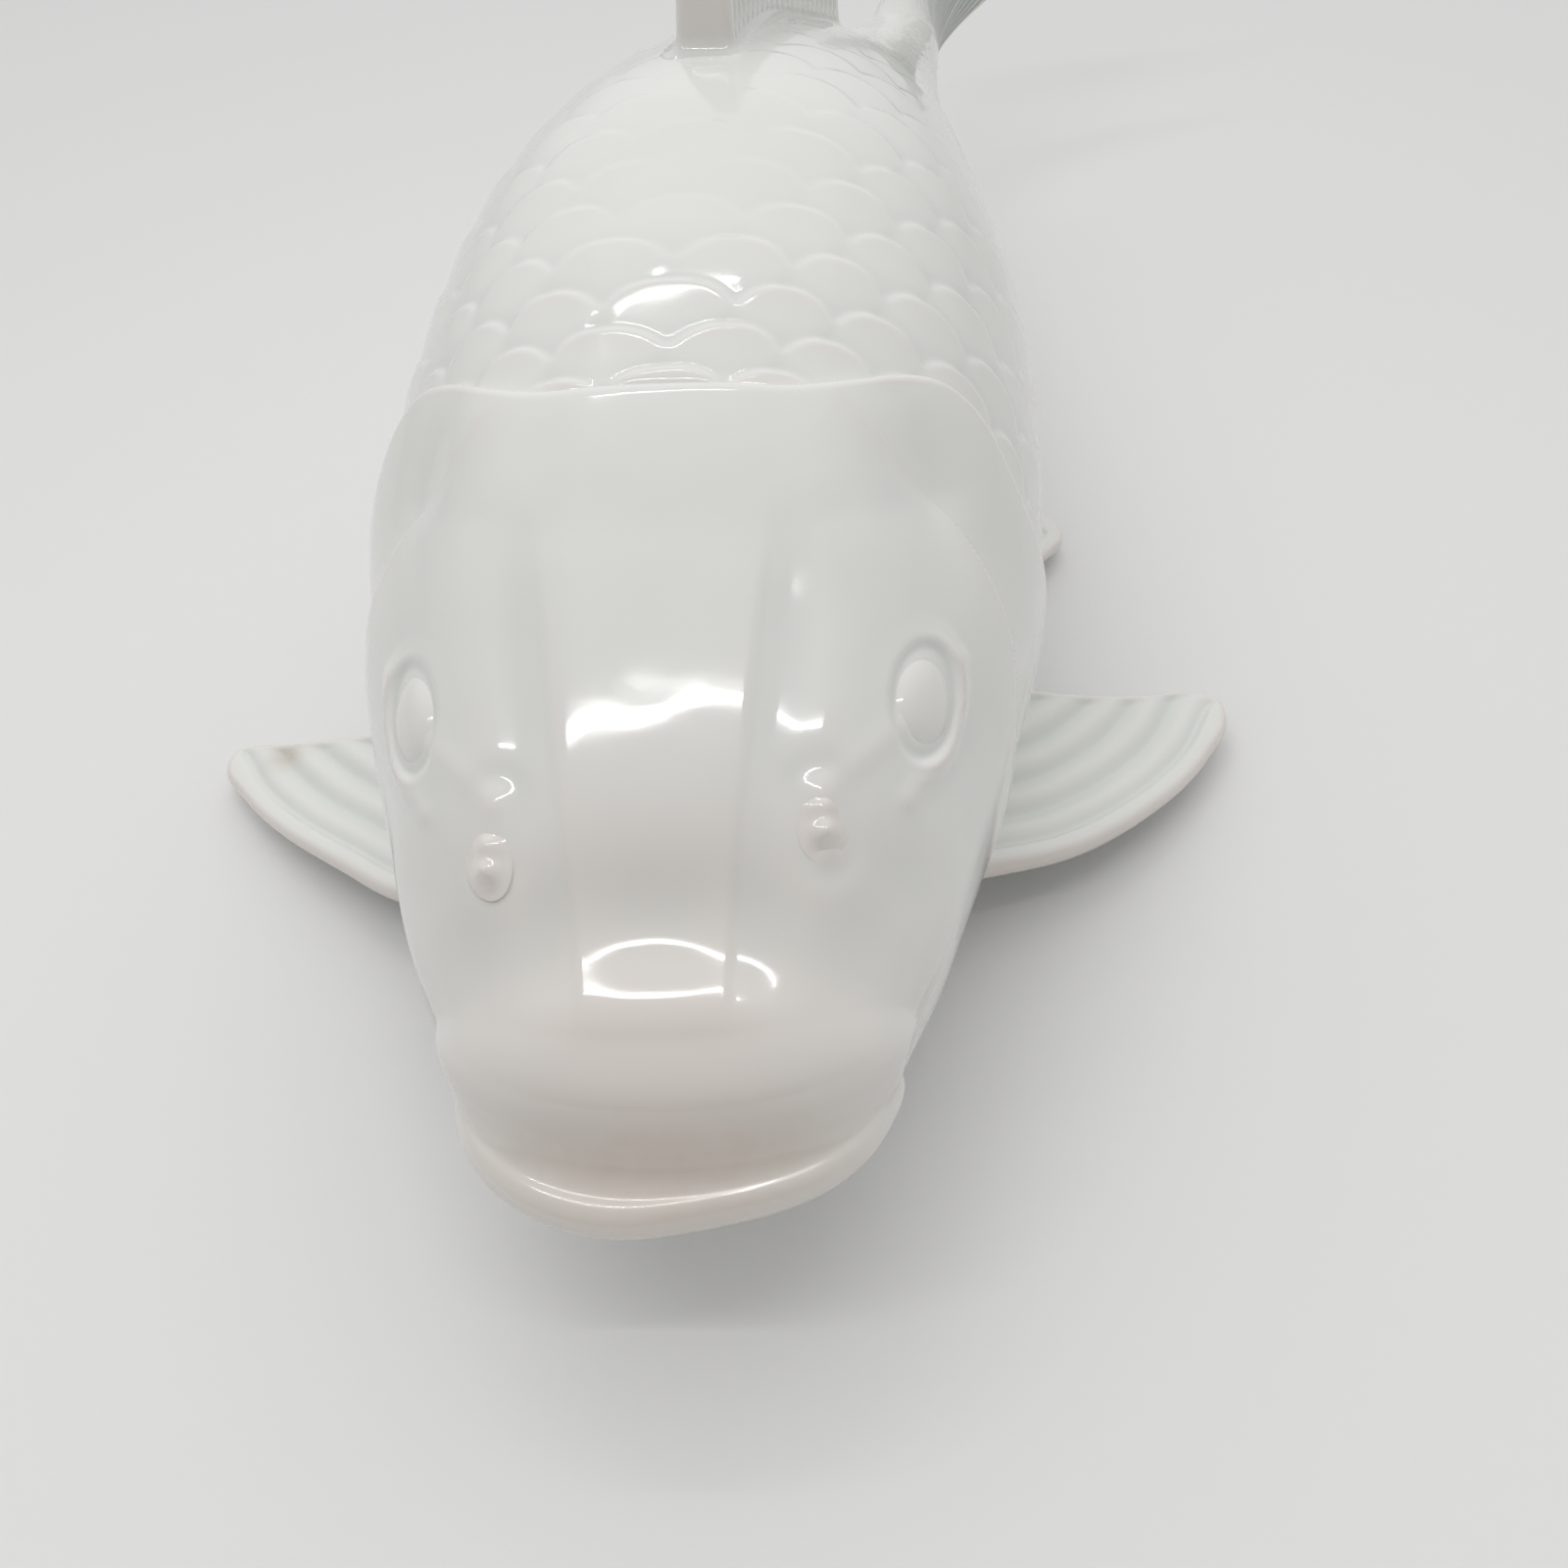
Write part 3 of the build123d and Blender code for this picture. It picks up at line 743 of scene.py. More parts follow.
def scale_tile():
    """Height of overlapping scales over one repeat: two staggered rows by one column, from 0 to about 1.

    A scale is a disc, wider than its spacing, that tilts up towards its rear edge and drops there. Where
    discs overlap, the one nearer the head is on top. A light blur rounds it as thick glaze would.
    """
    rows, columns = 256, 128
    u = (np.arange(rows) + 0.5)[:, None] / rows * 2
    v = (np.arange(columns) + 0.5)[None, :] / columns
    height = np.full((rows, columns), 0.3)
    taken = np.zeros((rows, columns), bool)
    disc_length = 1.30
    disc_half_width = 0.62
    for row in range(-2, 3):
        shift = 0.5 * (row % 2)
        for column in (-1, 0, 1, 2):
            ahead = (u - row) / disc_length
            aside = (v - column - shift) / disc_half_width
            inside = (ahead**2 + np.abs(aside) ** 2.2 < 1) & ~taken
            tilt = 0.42 + 0.58 * ahead - 0.22 * aside**2
            height = np.where(inside, tilt, height)
            taken |= inside
    row_blur = 0.040
    column_blur = 0.024
    spectrum = np.fft.rfft2(height)
    wave_rows = np.fft.fftfreq(rows)[:, None] * rows / 2
    wave_columns = np.fft.rfftfreq(columns)[None, :] * columns
    keep = np.exp(-2 * np.pi**2 * ((row_blur * wave_rows) ** 2 + (column_blur * wave_columns) ** 2))
    return np.fft.irfft2(spectrum * keep, s=height.shape)


def sample_tile(tile, u, v):
    """The tile's height at row and column coordinates, by straight mixing of the four nearest samples."""
    rows, columns = tile.shape
    row = (u % 2) / 2 * rows - 0.5
    column = (v % 1) * columns - 0.5
    row_low = np.floor(row).astype(int)
    column_low = np.floor(column).astype(int)
    row_share = row - row_low
    column_share = column - column_low
    total = 0.0
    for row_step, row_weight in ((0, 1 - row_share), (1, row_share)):
        for column_step, column_weight in ((0, 1 - column_share), (1, column_share)):
            near = tile[(row_low + row_step) % rows, (column_low + column_step) % columns]
            total = total + row_weight * column_weight * near
    return total


SCALE_COLUMNS = 22


def scale_spacing(place):
    """Length of one row of scales: about half of a scale's width, which shrinks with the girth."""
    half_width, top, _widest, underside = station_sizes(place)
    girth = np.pi * (half_width + (top - underside) / 2)
    return np.maximum(0.49 * girth / SCALE_COLUMNS, 3.2)


def make_trunk_part(name, tile, start, end, joint_dive, rows, columns):
    """One length of the trunk casting, scaled all over but on its belly.

    Rows are spaced by the scales' own length. The scales' height comes from the repeating tile, at the row
    number and the angle round the body, and is faded out on the belly and on the ridge of the back. At the
    joint, one length dives under the other at a grazing angle.
    """
    fine = np.linspace(66.0, BODY_LENGTH, 3000)
    number = np.concatenate([[0.0], np.cumsum(np.diff(fine) / scale_spacing(fine[:-1]))])
    place = np.interp(np.linspace(*np.interp([start, end], fine, number), rows), number, fine)[:, None]
    row_number = np.interp(place, fine, number)
    angle = round_angles(columns, 0.38)
    round_back = np.degrees(angle)[None, :]
    degrees = up_from_side(round_back)
    points = skin(place, angle)
    normal = skin_normal(place, angle)

    wander = 0.09 * waves(points, length=31, seed=11)
    column_number = (round_back - 90) / 360 * SCALE_COLUMNS + 0.08 * waves(points, length=37, seed=12)
    height = sample_tile(tile, row_number + wander, column_number)
    belly = smooth((degrees + 52) / 34)
    on_ridge = bump(degrees - 90, 17)
    ridge = 1 - 0.90 * on_ridge * smooth((place - 82) / 22)
    stalk = 1 - smooth((place - 244) / 6)
    deep = 1.10 - 0.45 * smooth((place - 150) / 80) - 0.5 * smooth((place - 236) / 14)
    amount = deep * belly * ridge * stalk
    rise = amount * (height - 0.42) + 0.12 * waves(points, length=30, seed=4)
    rise -= 0.5 * (1 - smooth((place - 70.8) / 1.8))
    rise = rise + joint_dive(place)
    points = points + normal * rise[..., None]

    # The foot is recessed, and the bare foot piece fills it level with z = 0
    flat = (points[..., 2] < 0.02) & (degrees < -40)
    recess = soften(flat.astype(float), 1.0, 1.0) > 0.95
    points[..., 2] = np.maximum(points[..., 2], CLEAR_OF_TABLE) + 1.2 * recess

    core_level = 44.5
    front, rear = (
        pole(across_the_back(middle, 0.0, core_level), points) for middle in (start + 3.0, end - 1.0)
    )
    rings = [front, 0.9 * points[:1] + 0.1 * front, points, 0.9 * points[-1:] + 0.1 * rear, rear]
    level = with_more_rows(rise, 2, 2)
    spread = soften(level, 4, 4)
    fade = with_more_rows(ridge * belly, 2, 2)
    pool = np.clip(1.2 * (spread - level), 0, 1) * fade
    thin = np.clip(0.8 * (level - spread), 0, 1) * fade
    make_piece(name, np.concatenate(rings), glaze, ["trunk_casting"], pool=pool, thin=thin, stain=0.0)


def make_trunk():
    """The trunk casting in two lengths, so that each can be finely divided."""
    tile = scale_tile()

    def front_dive(place):
        return -1.0 * np.clip((place - TRUNK_JOINT - 0.3) / 2.0, 0, 1) ** 3

    def rear_dive(place):
        return -0.004 - 1.0 * np.clip((TRUNK_JOINT - place) / 2.0, 0, 1) ** 3

    front_end = TRUNK_JOINT + 2.3
    rear_start = TRUNK_JOINT - 2.0
    make_trunk_part("trunk_front_glazed", tile, TRUNK_START, front_end, front_dive, rows=236, columns=414)
    make_trunk_part("trunk_rear_glazed", tile, rear_start, BODY_LENGTH, rear_dive, rows=250, columns=392)


def make_gill_cover(side, name):
    """One gill cover. Rows go up its height, and columns over its face, round its free edge and back in."""
    face_columns = 130
    edge_columns = 13
    lowest, highest = -35, 70
    u = np.linspace(0, 1, 190)[:, None]
    degrees = lowest + (highest - lowest) * u
    front = front_line(degrees)
    rear = rear_edge(degrees)
    closing = np.sqrt(np.clip(1 - (2 * u - 1) ** 10, 0, 1))
    middle = (front + rear) / 2
    start = middle + (front - middle) * closing - 3.0 * closing
    rear = np.where(degrees > 30, rear, middle + (rear - middle) * closing)
    brink = rear - EDGE_RADIUS
    face_place = start + (brink - start) * np.linspace(0, 1, face_columns)
    face_rise = cover_field(face_place, degrees)
    turn = np.linspace(0, EDGE_TURN, edge_columns + 1)[1:]
    edge_place = brink + EDGE_RADIUS * np.sin(turn)
    edge_rise_here = cover_field(edge_place, degrees) - EDGE_SQUASH * EDGE_RADIUS * (1 - np.cos(turn))
    inward = np.linspace(0, 1, 16)[1:]
    under_place = edge_place[:, -1:] + (start - edge_place[:, -1:]) * inward
    under_rise = edge_rise_here[:, -1:] + (-2.4 - edge_rise_here[:, -1:]) * inward**0.5
    place = np.concatenate([face_place, edge_place, under_place], 1)
    rise = np.concatenate([face_rise, edge_rise_here, under_rise], 1)
    angle = np.radians(degrees if side > 0 else 180 - degrees)
    base = skin(place, angle)
    column = np.arange(rise.shape[1])
    shown = column < face_columns + edge_columns
    rise = rise + (dimple(base, side) + 0.10 * waves(base, length=26, seed=3)) * shown
    points = base + skin_normal(place, angle) * rise[..., None]
    points = np.concatenate([pole(points[0].mean(0), points), points, pole(points[-1].mean(0), points)])
    to_edge = np.abs(column - face_columns - 1)
    level = with_more_rows(rise, 1, 1)
    pool = np.clip(0.8 * (soften(level, 5, 4) - level), 0, 1) * (to_edge > 12)
    thin = 0.25 * bump(to_edge, 3.0)
    make_glazed(f"gill_cover_{name}", points, pool, thin)


def make_button(label, seat, half_length, half_height, height_at, warmth):
    """A low closed form seated on the skin, in a polar grid whose height over its seat a function gives.

    Rows go out from the top's middle to the rim, down below the skin and back to a pole inside.
    """
    middle, along, up, outward = seat
    turn = np.linspace(0, 2 * np.pi, 96, endpoint=False)[None, :]
    reach = np.sin(np.linspace(0, np.pi / 2, 40))[:, None]
    ahead = half_length * reach * np.cos(turn)
    above = half_height * reach * np.sin(turn)
    # The seat falls away from the middle as the skin does
    height = height_at(ahead, above) - (ahead**2 + above**2) / 78.0
    top = middle + ahead[..., None] * along + above[..., None] * up + height[..., None] * outward
    rim = top[-1:] - 1.5 * outward
    inner = middle + (rim - middle) * 0.5 - 0.6 * outward
    points = np.concatenate([top, rim, inner, pole(middle - 2.0 * outward, rim)])
    level = np.concatenate([reach, np.ones((3, 1))])
    pool = 0.25 * smooth((level - 0.86) / 0.14)
    make_glazed(label, points, pool, warmth)


def make_eye(side, name):
    """An eye: a low oval dome, nearly flat on top and steep at its rim."""
    half_length, half_height = 6.6, 4.45

    def dome(ahead, above):
        radius = np.hypot(ahead / half_length, above / half_height)
        return -0.40 + 1.75 * np.clip(1 - radius**2.6, 0, 1) ** 0.75

    make_button(f"eye_{name}", eye_frame(side), half_length, half_height, dome, warmth=0.1)


def make_nostril(side, name):
    """Two lobes side by side: the smooth greater of two domes. The right pair sits further forward."""
    place = 0.109 * BODY_LENGTH
    seat = skin_frame(place, 58.0, 1) if side > 0 else skin_frame(place - 2.6, 124.5, -1)

    def lobes(ahead, above):
        rear = 0.85 * bump(np.hypot(ahead - 1.7, above - 0.5), 1.25)
        front = bump(np.hypot(ahead + 0.9, above + 0.2), 1.15)
        return -0.45 + 1.3 * (rear**1.5 + front**1.5) ** (1 / 1.5)

    make_button(f"nostril_flap_{name}", seat, 4.2, 3.0, lobes, warmth=0.6)


def plate(outline, centre, half_thickness, edge_radius, count, inner_rows):
    """A flat plate with rounded edges, in its own plan: x and y, and the height over its middle plane.

    Rows go from the plan's centre out to the rim on one face, round the edge and back on the other face. The
    edge is a quarter circle from each face, with a straight band between where the plate is thicker.
    """
    rim = even_curve(outline, count, closed=True)
    ahead = unit(np.roll(rim, -1, 0) - np.roll(rim, 1, 0))
    inward = np.stack([-ahead[:, 1], ahead[:, 0]], -1)
    if np.sum(inward * (centre - rim)) < 0:
        inward = -inward
    half = half_thickness(rim)
    radius = np.minimum(edge_radius, half * 0.98)
    share = np.linspace(0, 1, inner_rows) ** 0.8
    flat_rim = rim + inward * radius[:, None]
    face = centre + (flat_rim - centre) * share[:, None, None]
    face_height = half_thickness(face)
    turn = np.linspace(0, np.pi / 2, 7)[1:, None]
    edge = rim + inward * (radius * (1 - np.sin(turn)))[..., None]
    edge_height = half - radius * (1 - np.cos(turn))
    band_height = (half - radius) * np.array([[0.5], [0.0], [-0.5]])
    plan = np.concatenate([face, edge, np.broadcast_to(rim, (3, *rim.shape)), edge[::-1], face[::-1]])
    height = [face_height, edge_height, band_height, -edge_height[::-1], -face_height[::-1]]
    return plan, np.concatenate(height)


# Outlines of the paired fins, from the root along the leading edge: distance across and y
PECTORAL_LEFT = [
    (26.0, -46.0), (37.3, -42.2), (51.0, -36.4), (63.6, -26.6), (73.5, -14.3),
    (77.4, -6.3), (76.8, -1.8), (72.0, -0.4), (63.7, -2.2), (54.2, -3.7),
    (42.0, -4.6), (24.0, -5.5),
]
PECTORAL_RIGHT = [
    (26.0, -47.5), (36.0, -46.2), (47.5, -42.0), (58.6, -34.2), (69.9, -25.4),
    (79.4, -15.8), (84.6, -8.1), (84.3, -4.6), (73.5, -4.6), (57.5, -6.0),
    (42.0, -7.0), (24.0, -8.0),
]
PELVIC = [
    (16.0, 22.0), (28.0, 24.0), (38.0, 29.0), (46.0, 36.0), (49.5, 42.5),
    (47.0, 47.5), (36.0, 47.0), (16.0, 43.0),
]
# Sizes of the paired fins: shift to the side, root and tip as across and level, thickness, width of a ray,
# and how many points go round the rim
PELVIC_SIZES = {
    "shift": 6.83, "root": (22.0, 8.5), "tip": (50.0, 2.2), "thickness": 2.8, "band": 3.6, "count": 240
}
PECTORAL_SIZES = {
    "shift": 0.0, "root": (34.0, 12.5), "tip": (86.0, 2.2), "thickness": 3.4, "band": 5.6, "count": 380
}


def make_spread_fin(name, outline, side, leading_points, shift, root, tip, thickness, band, count):
    """A paired fin: a plate on a plane that slopes down from root to tip.

    Rays follow the leading edge: the faces rise and fall with the distance from that edge over the width of
    a ray. The leading edge keeps a plain rounded lip.
    """
    rim = np.array(outline)
    centre = np.array([rim[:, 0].mean() + 2.0, rim[:, 1].mean()])
    leading = even_curve(rim[:leading_points], 60)
    slope = (root[1] - tip[1]) / (tip[0] - root[0])

    def half_thickness(plan):
        to_tip = smooth((plan[..., 0] - root[0]) / (tip[0] - root[0]))
        return thickness / 2 * (1 - 0.25 * to_tip)

    plan, height = plate(rim, centre, half_thickness, thickness * 0.42, count, inner_rows=78)
    across, back = plan[..., 0], plan[..., 1]
    from_lip = distance_to_line(plan, leading)
    from_rim = distance_to_rim(plan, rim, 240)
    ray = (1 - ripple((from_lip - 3.2) / band)) ** 0.75
    grooved = smooth((from_lip - 2.6) / 1.6) * smooth((from_rim - 0.5) / 2.0)
    relief = 0.65 * grooved * (ray - 1.0)
    lip = -0.25 * smooth((from_lip - 1.5) / 3.0)
    height = height + np.sign(height) * (relief + lip) * (np.abs(height) > 0.4)
    # A light sag across the fin
    sag = 0.8 * bump(from_lip - 16, 8) * smooth((across - 30) / 20)
    level = root[1] - slope * (across - root[0]) + thickness / 2 - sag
    wavy = 0.12 * waves(np.stack([across, back, np.zeros_like(back)], -1), length=21, seed=8)
    points = np.stack([shift + side * (across + slope * height), back, level + height + wavy], -1)
    pool = np.clip(0.32 * grooved * (1 - ray) + 0.06, 0, 1)
    thin = np.clip(0.75 * (1 - smooth(from_rim / 2.2)), 0, 1)
    end = np.array([tip[0] - 12.0, rim[:, 1].max() - 3.0])
    # One brown spot, on the right fins' upper face near the tip
    stain = 0.7 * bump(np.linalg.norm(plan - end, axis=-1), 2.2) * (height > 0) * (side < 0)
    make_glazed(name, points, pool, thin, stain)


DORSAL_START = 0.502 * BODY_LENGTH
DORSAL_END = 0.79 * BODY_LENGTH


def make_dorsal():
    """The dorsal fin: a thick plate along the ridge, flat in front, its flanks ribbed, its foot flared.

    The plan is distance along the back and height. Across is half the thickness at that place, and near the
    skin it flares by a quarter circle, as the glaze fills the corner.
    """
    run = DORSAL_END - DORSAL_START
    lean = 9.0
    flare_radius = 2.4
    tops = [station_sizes(DORSAL_START + part * run)[1] for part in (0.0, 0.5, 1.0)]
    front_foot = (DORSAL_START, tops[0] - 9.0)
    front_tip = (DORSAL_START + lean + 3.4, tops[0] + 25.6)
    middle_tip = (DORSAL_START + run / 2 + lean, tops[1] + 19.0)
    rear_tip = (DORSAL_END + lean - 0.4, tops[2] + 12.4)
    rear_foot = (DORSAL_END, tops[2] - 9.0)
    tips = np.array([front_tip, middle_tip, rear_tip])
    top_x = np.linspace(front_tip[0], rear_tip[0], 40, endpoint=False)
    sides = [
        np.linspace(front_foot, front_tip, 24, endpoint=False),
        np.stack([top_x, through(tips[:, 0], tips[:, 1], top_x)], -1),
        np.linspace(rear_tip, rear_foot, 18, endpoint=False),
        np.linspace(rear_foot, front_foot, 40, endpoint=False),
    ]
    outline = np.concatenate(sides)
    centre = np.array([DORSAL_START + run * 0.52, (tops[1] + tops[2]) / 2 + 4.0])

    def half_thickness(plan):
        part = np.clip((plan[..., 0] - DORSAL_START) / (run + lean), 0, 1)
        climb = np.clip((plan[..., 1] - station_sizes(plan[..., 0])[1]) / 26, 0, 1)
        return (4.1 - 2.2 * part) * (1 - 0.18 * climb)

    plan, across = plate(outline, centre, half_thickness, edge_radius=1.5, count=420, inner_rows=96)
    place, level = plan[..., 0], plan[..., 1]
    over_skin = level - station_sizes(place)[1] + 0.02 * across**2
    ribs = ripple((place - lean / 26 * over_skin * 1.6) / 3.1)
    from_rim = distance_to_rim(plan, outline, 300)
    front_gap = place - DORSAL_START - lean / 35 * (over_skin + 9)
    ribbed = smooth((front_gap - 2.2) / 2.0) * smooth((over_skin - 1.0) / 4) * smooth(from_rim / 2.5)
    face = np.abs(across) > 0.9
    across = across - np.sign(across) * 0.55 * ribbed * (1 - ribs) * face
    under = 1 - np.clip(over_skin / flare_radius, 0, 1)
    flare = flare_radius * (1 - np.sqrt(np.clip(1 - under**2, 0, 1)))
    to_front = smooth(1 - front_gap / 2.0)
    across = across + np.sign(across) * flare * (1 - 0.3 * to_front)
    place = place - flare * to_front * 0.9
    # The front of the fin was set a little to the fish's right
    lean_right = -2.2 * (1 - smooth((place - DORSAL_START) / run))
    points = across_the_back(place, across + lean_right, level)
    pool = np.clip(0.8 * ribbed * (1 - ribs) + 0.3 * smooth(1 - over_skin / 3), 0, 1)
    thin = 0.5 * (1 - smooth(from_rim / 1.8)) * (over_skin > 1) * (1 - to_front)
    make_glazed("dorsal_fin", points, pool, thin)


# Axis points of the tail past the stalk's end, half chord, half thickness and tilt of the chord in degrees
TAIL_SECTIONS = np.array(
    [
        (-3.4, -12.0, -0.4, 8.5, 7.4, 0.0),
        (0.0, 0.0, 0.0, 8.9, 7.9, 0.0),
        (4.2, 11.5, 4.0, 10.6, 4.6, 12.0),
        (11.0, 23.0, 12.0, 16.0, 2.7, 24.0),
        (21.0, 35.0, 23.5, 25.5, 2.1, 35.0),
        (33.0, 45.0, 37.5, 36.6, 1.6, 44.0),
    ]
)


def make_tail():
    """The tail fin: oval sections that leave the stalk, turn, rise and fan out into a slender forked blade.

    Rows run out along each ray to the forked end. Columns go across one face and back across the other. The
    thickness falls to nothing at both edges and at the end, and the faces ripple across the chord as rays.
    """
    ray_count = 13
    face_columns = 150
    axis_points = across_the_back(BODY_LENGTH, 0.0, 45.5) + TAIL_SECTIONS[:, :3]
    knots = lengths_along(axis_points)
    grid = np.linspace(-1, 1, face_columns)
    chord_share = grid * (1.5 - 0.5 * grid**2)
    share = np.concatenate([chord_share, chord_share[::-1][1:-1]])
    upper = np.concatenate([np.ones(face_columns), -np.ones(face_columns - 2)])
    rays = ripple(ray_count * share)
    fine_rays = ripple(2 * ray_count * share)
    size = np.abs(share)
    # The middle rays are shorter by the fork's depth, and the outer corners are rounded off
    fork_depth = 25.0
    fork = fork_depth * np.clip(1 - size / 0.74, 0, 1) ** 0.9
    corner = 7.0 * smooth((size - 0.80) / 0.20) ** 1.6
    scallop = (rays - 0.5) * smooth((size - 0.05) / 0.1)
    end = knots[-1] - fork - corner - scallop - 0.4
    along = np.linspace(0, 1, 210)[:, None] * end
    centre = through(knots, axis_points, along)
    half_chord = through(knots, TAIL_SECTIONS[:, 3], along)
    half_thick = through(knots, TAIL_SECTIONS[:, 4], along)
    tilt = np.radians(through(knots, TAIL_SECTIONS[:, 5], along))
    heading = unit(through(knots, np.gradient(axis_points, knots, axis=0), along))
    chord = np.stack([-np.sin(tilt), np.zeros_like(tilt), np.cos(tilt)], -1)
    chord = unit(chord - heading * np.sum(chord * heading, -1, keepdims=True))
    across = np.cross(heading, chord)
    blade = smooth((along - knots[1]) / 26)
    profile = np.clip(1 - size ** (2 + 4 * blade), 0, 1) ** 0.5
    to_end = (end - along) / 2.2
    rounding = np.sqrt(np.clip(1 - np.clip(1 - to_end, 0, 1) ** 2, 0, 1))
    ribbed = smooth((along - knots[1] - 2) / 12) * (1 - smooth((size - 0.9) / 0.08)) * rounding
    relief = ribbed * (0.55 * (1 - rays) + 0.15 * (1 - fine_rays))
    thick = half_thick * profile * rounding
    thick = np.maximum(thick - relief * np.minimum(1, half_thick * profile), 0.3 * thick)
    points = centre + chord * (half_chord * share)[..., None] + across * (upper * thick)[..., None]
    points = np.concatenate([pole(points[0].mean(0), points), points])
    pool = with_more_rows(np.clip(1.1 * ribbed * (1 - rays) + 0.2 * blade, 0, 1), 1, 0)
    thin = np.clip(smooth((size - 0.86) / 0.14) * blade + 0.8 * (1 - rounding), 0, 1)
    thin = with_more_rows(thin, 1, 0)
    make_glazed("tail_fin", points, pool, thin)


def make_anal_fin():
    """The anal fin: a small ribbed plate under the stalk, its plan distance along the back and height."""
    start = 0.800 * BODY_LENGTH
    end = 0.905 * BODY_LENGTH
    start_low = station_sizes(start)[3]
    end_low = station_sizes(end)[3]
    corners = [
        (start, start_low + 4.5),
        (start + 7.0, start_low - 12.6),
        (end + 6.6, end_low - 6.3),
        (end, end_low + 4.5),
    ]
    sides = [np.linspace(corners[k - 1], corners[k], 16, endpoint=False) for k in (1, 2, 3, 0)]
    centre = np.mean(corners, 0)

    def half_thickness(plan):
        return 1.9 - 0.8 * smooth((start_low - plan[..., 1]) / 14)

    outline = np.concatenate(sides)
    plan, across = plate(outline, centre, half_thickness, edge_radius=1.1, count=220, inner_rows=46)
    place, level = plan[..., 0], plan[..., 1]
    below = station_sizes(place)[3] - level
    ribs = ripple((place - 0.5 * below) / 2.9)
    ribbed = smooth((below - 0.5) / 3) * (np.abs(across) > 0.7)
    across = across - np.sign(across) * 0.32 * ribbed * (1 - ribs)
    # The fin is straight, and keeps the back's direction at its front end
    x, y, turn = spine(start)
    ahead = place - start
    x = x + ahead * np.sin(turn) + across * np.cos(turn)
    y = y + ahead * np.cos(turn) - across * np.sin(turn)
    pool = np.clip(ribbed * (1 - ribs), 0, 1)
    points = np.stack([x, y, level], -1)
    make_glazed("anal_fin", points, pool, 0.2)


def make_foot():
    """The bare foot: a low polar plate round the vent, out to the line where the belly leaves z = 0."""
    columns = 180
    vent_lip = 0.35
    rim_width = 0.5
    middle = np.array([0.0, 18.0])
    place = np.linspace(TRUNK_START, 149.4, 500)
    half_width, _top, widest, underside = station_sizes(place)
    depth = np.clip(widest / (widest - underside), 0, 1)
    across = half_width * np.clip(1 - depth**SQUARENESS, 0, 1) ** (1 / SQUARENESS)
    left = across_the_back(place, across, 0.0)[:, :2]
    right = across_the_back(place, -across, 0.0)[:, :2]
    rim = np.concatenate([left, right[::-1]]) - middle
    bearing = np.unwrap(np.arctan2(rim[:, 1], rim[:, 0]))
    order = np.argsort(bearing)
    turn = np.linspace(0, 2 * np.pi, columns, endpoint=False)
    distance = np.hypot(rim[:, 0], rim[:, 1])
    reach = np.interp(turn, bearing[order] % (2 * np.pi), distance[order], period=2 * np.pi) + 0.9
    inner = VENT_RADIUS + vent_lip
    outer = reach - rim_width
    share = np.linspace(0, 1, 30)[1:, None] ** 0.8
    quarter = np.linspace(0, np.pi / 2, 5)[:, None]
    # Rings of the plate, each a radius and a level: down the vent and round its lip, out over the underside,
    # up round the rim and back over the top
    rings = [
        (VENT_RADIUS, np.array([[4.0], [3.0], [2.0], [1.0]])),
        (VENT_RADIUS + vent_lip * np.sin(quarter), vent_lip * (1 - np.sin(quarter))),
        (inner + (outer - inner) * share, 0.0 * share),
        (outer + rim_width * np.sin(quarter[1:]), CLEAR_OF_TABLE * (1 - np.cos(quarter[1:]))),
        (reach, np.array([[1.5]])),
        (VENT_RADIUS, np.array([[4.0]])),
    ]
    radius = np.concatenate([np.broadcast_to(radii, (len(levels), columns)) for radii, levels in rings])
    level = np.broadcast_to(np.concatenate([levels for _, levels in rings]), radius.shape)
    points = np.stack([middle[0] + radius * np.cos(turn), middle[1] + radius * np.sin(turn), level], -1)
    make_piece("foot_bare", points, bisque, ["trunk_casting"])


make_head()
make_trunk()
make_foot()
for fish_side, side_name in ((1, "left"), (-1, "right")):
    make_gill_cover(fish_side, side_name)
    make_eye(fish_side, side_name)
    make_nostril(fish_side, side_name)
    make_spread_fin(f"pelvic_fin_{side_name}", PELVIC, fish_side, 6, **PELVIC_SIZES)
make_spread_fin("pectoral_fin_left", PECTORAL_LEFT, 1, 6, **PECTORAL_SIZES)
make_spread_fin("pectoral_fin_right", PECTORAL_RIGHT, -1, 7, **PECTORAL_SIZES)
make_dorsal()
make_tail()
make_anal_fin()


def make_floor():
    """A pale floor far larger than the view."""
    mesh = bpy.data.meshes.new("pale_floor")
    reach = 6.0
    mesh.from_pydata(
        [(-reach, -reach, 0), (reach, -reach, 0), (reach, reach, 0), (-reach, reach, 0)], [], [(0, 1, 2, 3)]
    )
    mesh.materials.append(table_finish())
    floor = add_object("pale_floor", mesh)


def aim(position, forward, right):
    """A matrix at a position that looks along forward, with right to its side."""
    forward = unit(np.array(forward, float))
    right = np.array(right, float)
    right = unit(right - forward * (right @ forward))
    matrix = np.eye(4)
    matrix[:3] = np.stack([right, np.cross(right, forward), -forward, np.array(position) * MM], -1)
    return Matrix(matrix.tolist())


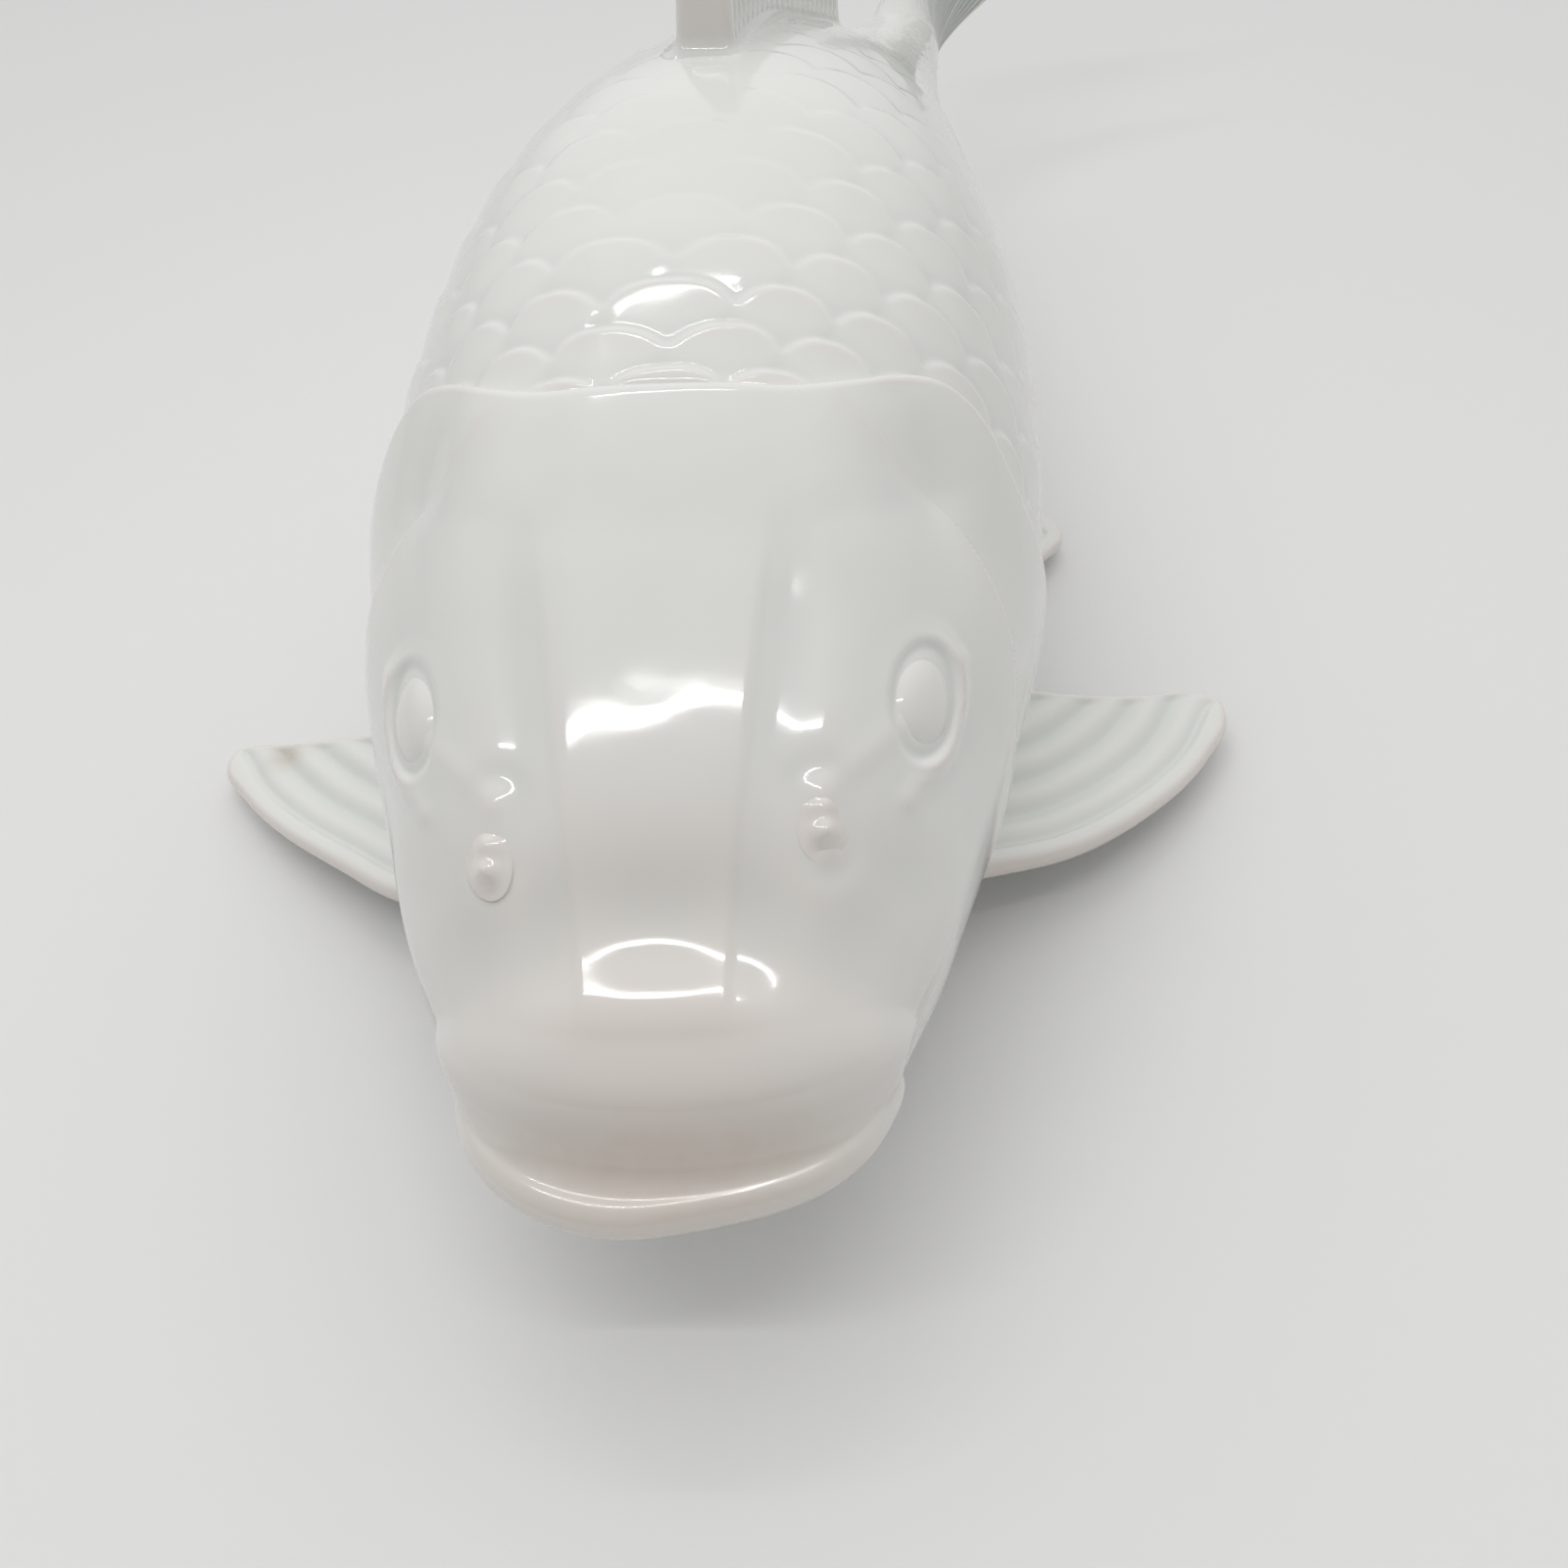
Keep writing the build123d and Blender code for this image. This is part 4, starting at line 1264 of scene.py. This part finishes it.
def make_camera():
    """The camera of the photograph: from in front, 48 degrees down, turned 6.5 degrees and rolled 6.7."""
    pitch, yaw, roll = np.radians([47.91, 6.45, -6.65])
    heading = np.array([-np.sin(yaw), np.cos(yaw), 0.0])
    forward = heading * np.cos(pitch) + np.array([0.0, 0.0, -np.sin(pitch)])
    level = np.array([np.cos(yaw), np.sin(yaw), 0.0])
    above = np.cross(level, forward)
    right = np.cos(roll) * level + np.sin(roll) * above
    data = bpy.data.cameras.new("photo_camera")
    photo_width = 1600
    focal_pixels = 1603
    data.sensor_width = 36.0
    data.lens = data.sensor_width * focal_pixels / photo_width
    data.clip_start = 0.01
    camera = add_object("photo_camera", data)
    camera.matrix_world = aim((26.27, -180.21, 187.97), forward, right)
    bpy.context.scene.camera = camera


def make_light(name, position, target, size, power):
    """A rectangular soft light, its long side level, that faces a target."""
    data = bpy.data.lights.new(name, "AREA")
    data.shape = "RECTANGLE"
    data.size = size[0] * MM
    data.size_y = size[1] * MM
    data.energy = power
    light = add_object(name, data)
    forward = np.array(target, float) - np.array(position, float)
    light.matrix_world = aim(position, forward, (1.0, 0.001, 0.0))
    light.visible_camera = False


def make_room():
    """Pale light from all round, dimmer and warmer low down in front, with a broad soft glow high behind."""
    world = bpy.data.worlds.new("light_tent")
    bpy.context.scene.world = world
    room = Finish(world)
    direction = room.node("TexCoord")
    ahead = room.node("SeparateXYZ", Vector=direction, output="Y")
    above = room.node("SeparateXYZ", Vector=direction, output="Z")
    ranges = {"interpolation_type": "SMOOTHSTEP"}
    to_back = room.node("MapRange", ranges, Value=ahead, From_Min=-0.95, From_Max=0.0)
    to_top = room.node("MapRange", ranges, Value=above, From_Min=0.1, From_Max=0.8)
    pale = 1.0 - (1.0 - to_back) * (1.0 - to_top)
    tent = room.mix(pale, (0.10, 0.078, 0.064, 1), (0.45, 0.455, 0.46, 1))
    toward_glow = 0.6 * ahead + 0.8 * above
    glow = room.node("MapRange", ranges, Value=toward_glow, From_Min=0.3, From_Max=1.0)
    colour = room.mix(glow, tent, (1.0, 1.0, 1.0, 1))
    light = room.node("Background", Color=colour, Strength=1.0)
    room.node("OutputWorld", Surface=light)


make_floor()
make_camera()
make_room()
# Each light with its position, target, length and width, all in millimetres, and its power in watts
make_light("front_strip", (-45.0, -170.0, 520.0), (0.0, -40.0, 60.0), (460.0, 7.0), 0.40)
make_light("rear_strip", (-70.0, 105.0, 520.0), (0.0, 0.0, 60.0), (240.0, 6.0), 0.14)
make_light("overhead", (0.0, 160.0, 900.0), (0.0, 0.0, 0.0), (900.0, 900.0), 0.35)
bpy.context.scene.view_settings.view_transform = "Standard"
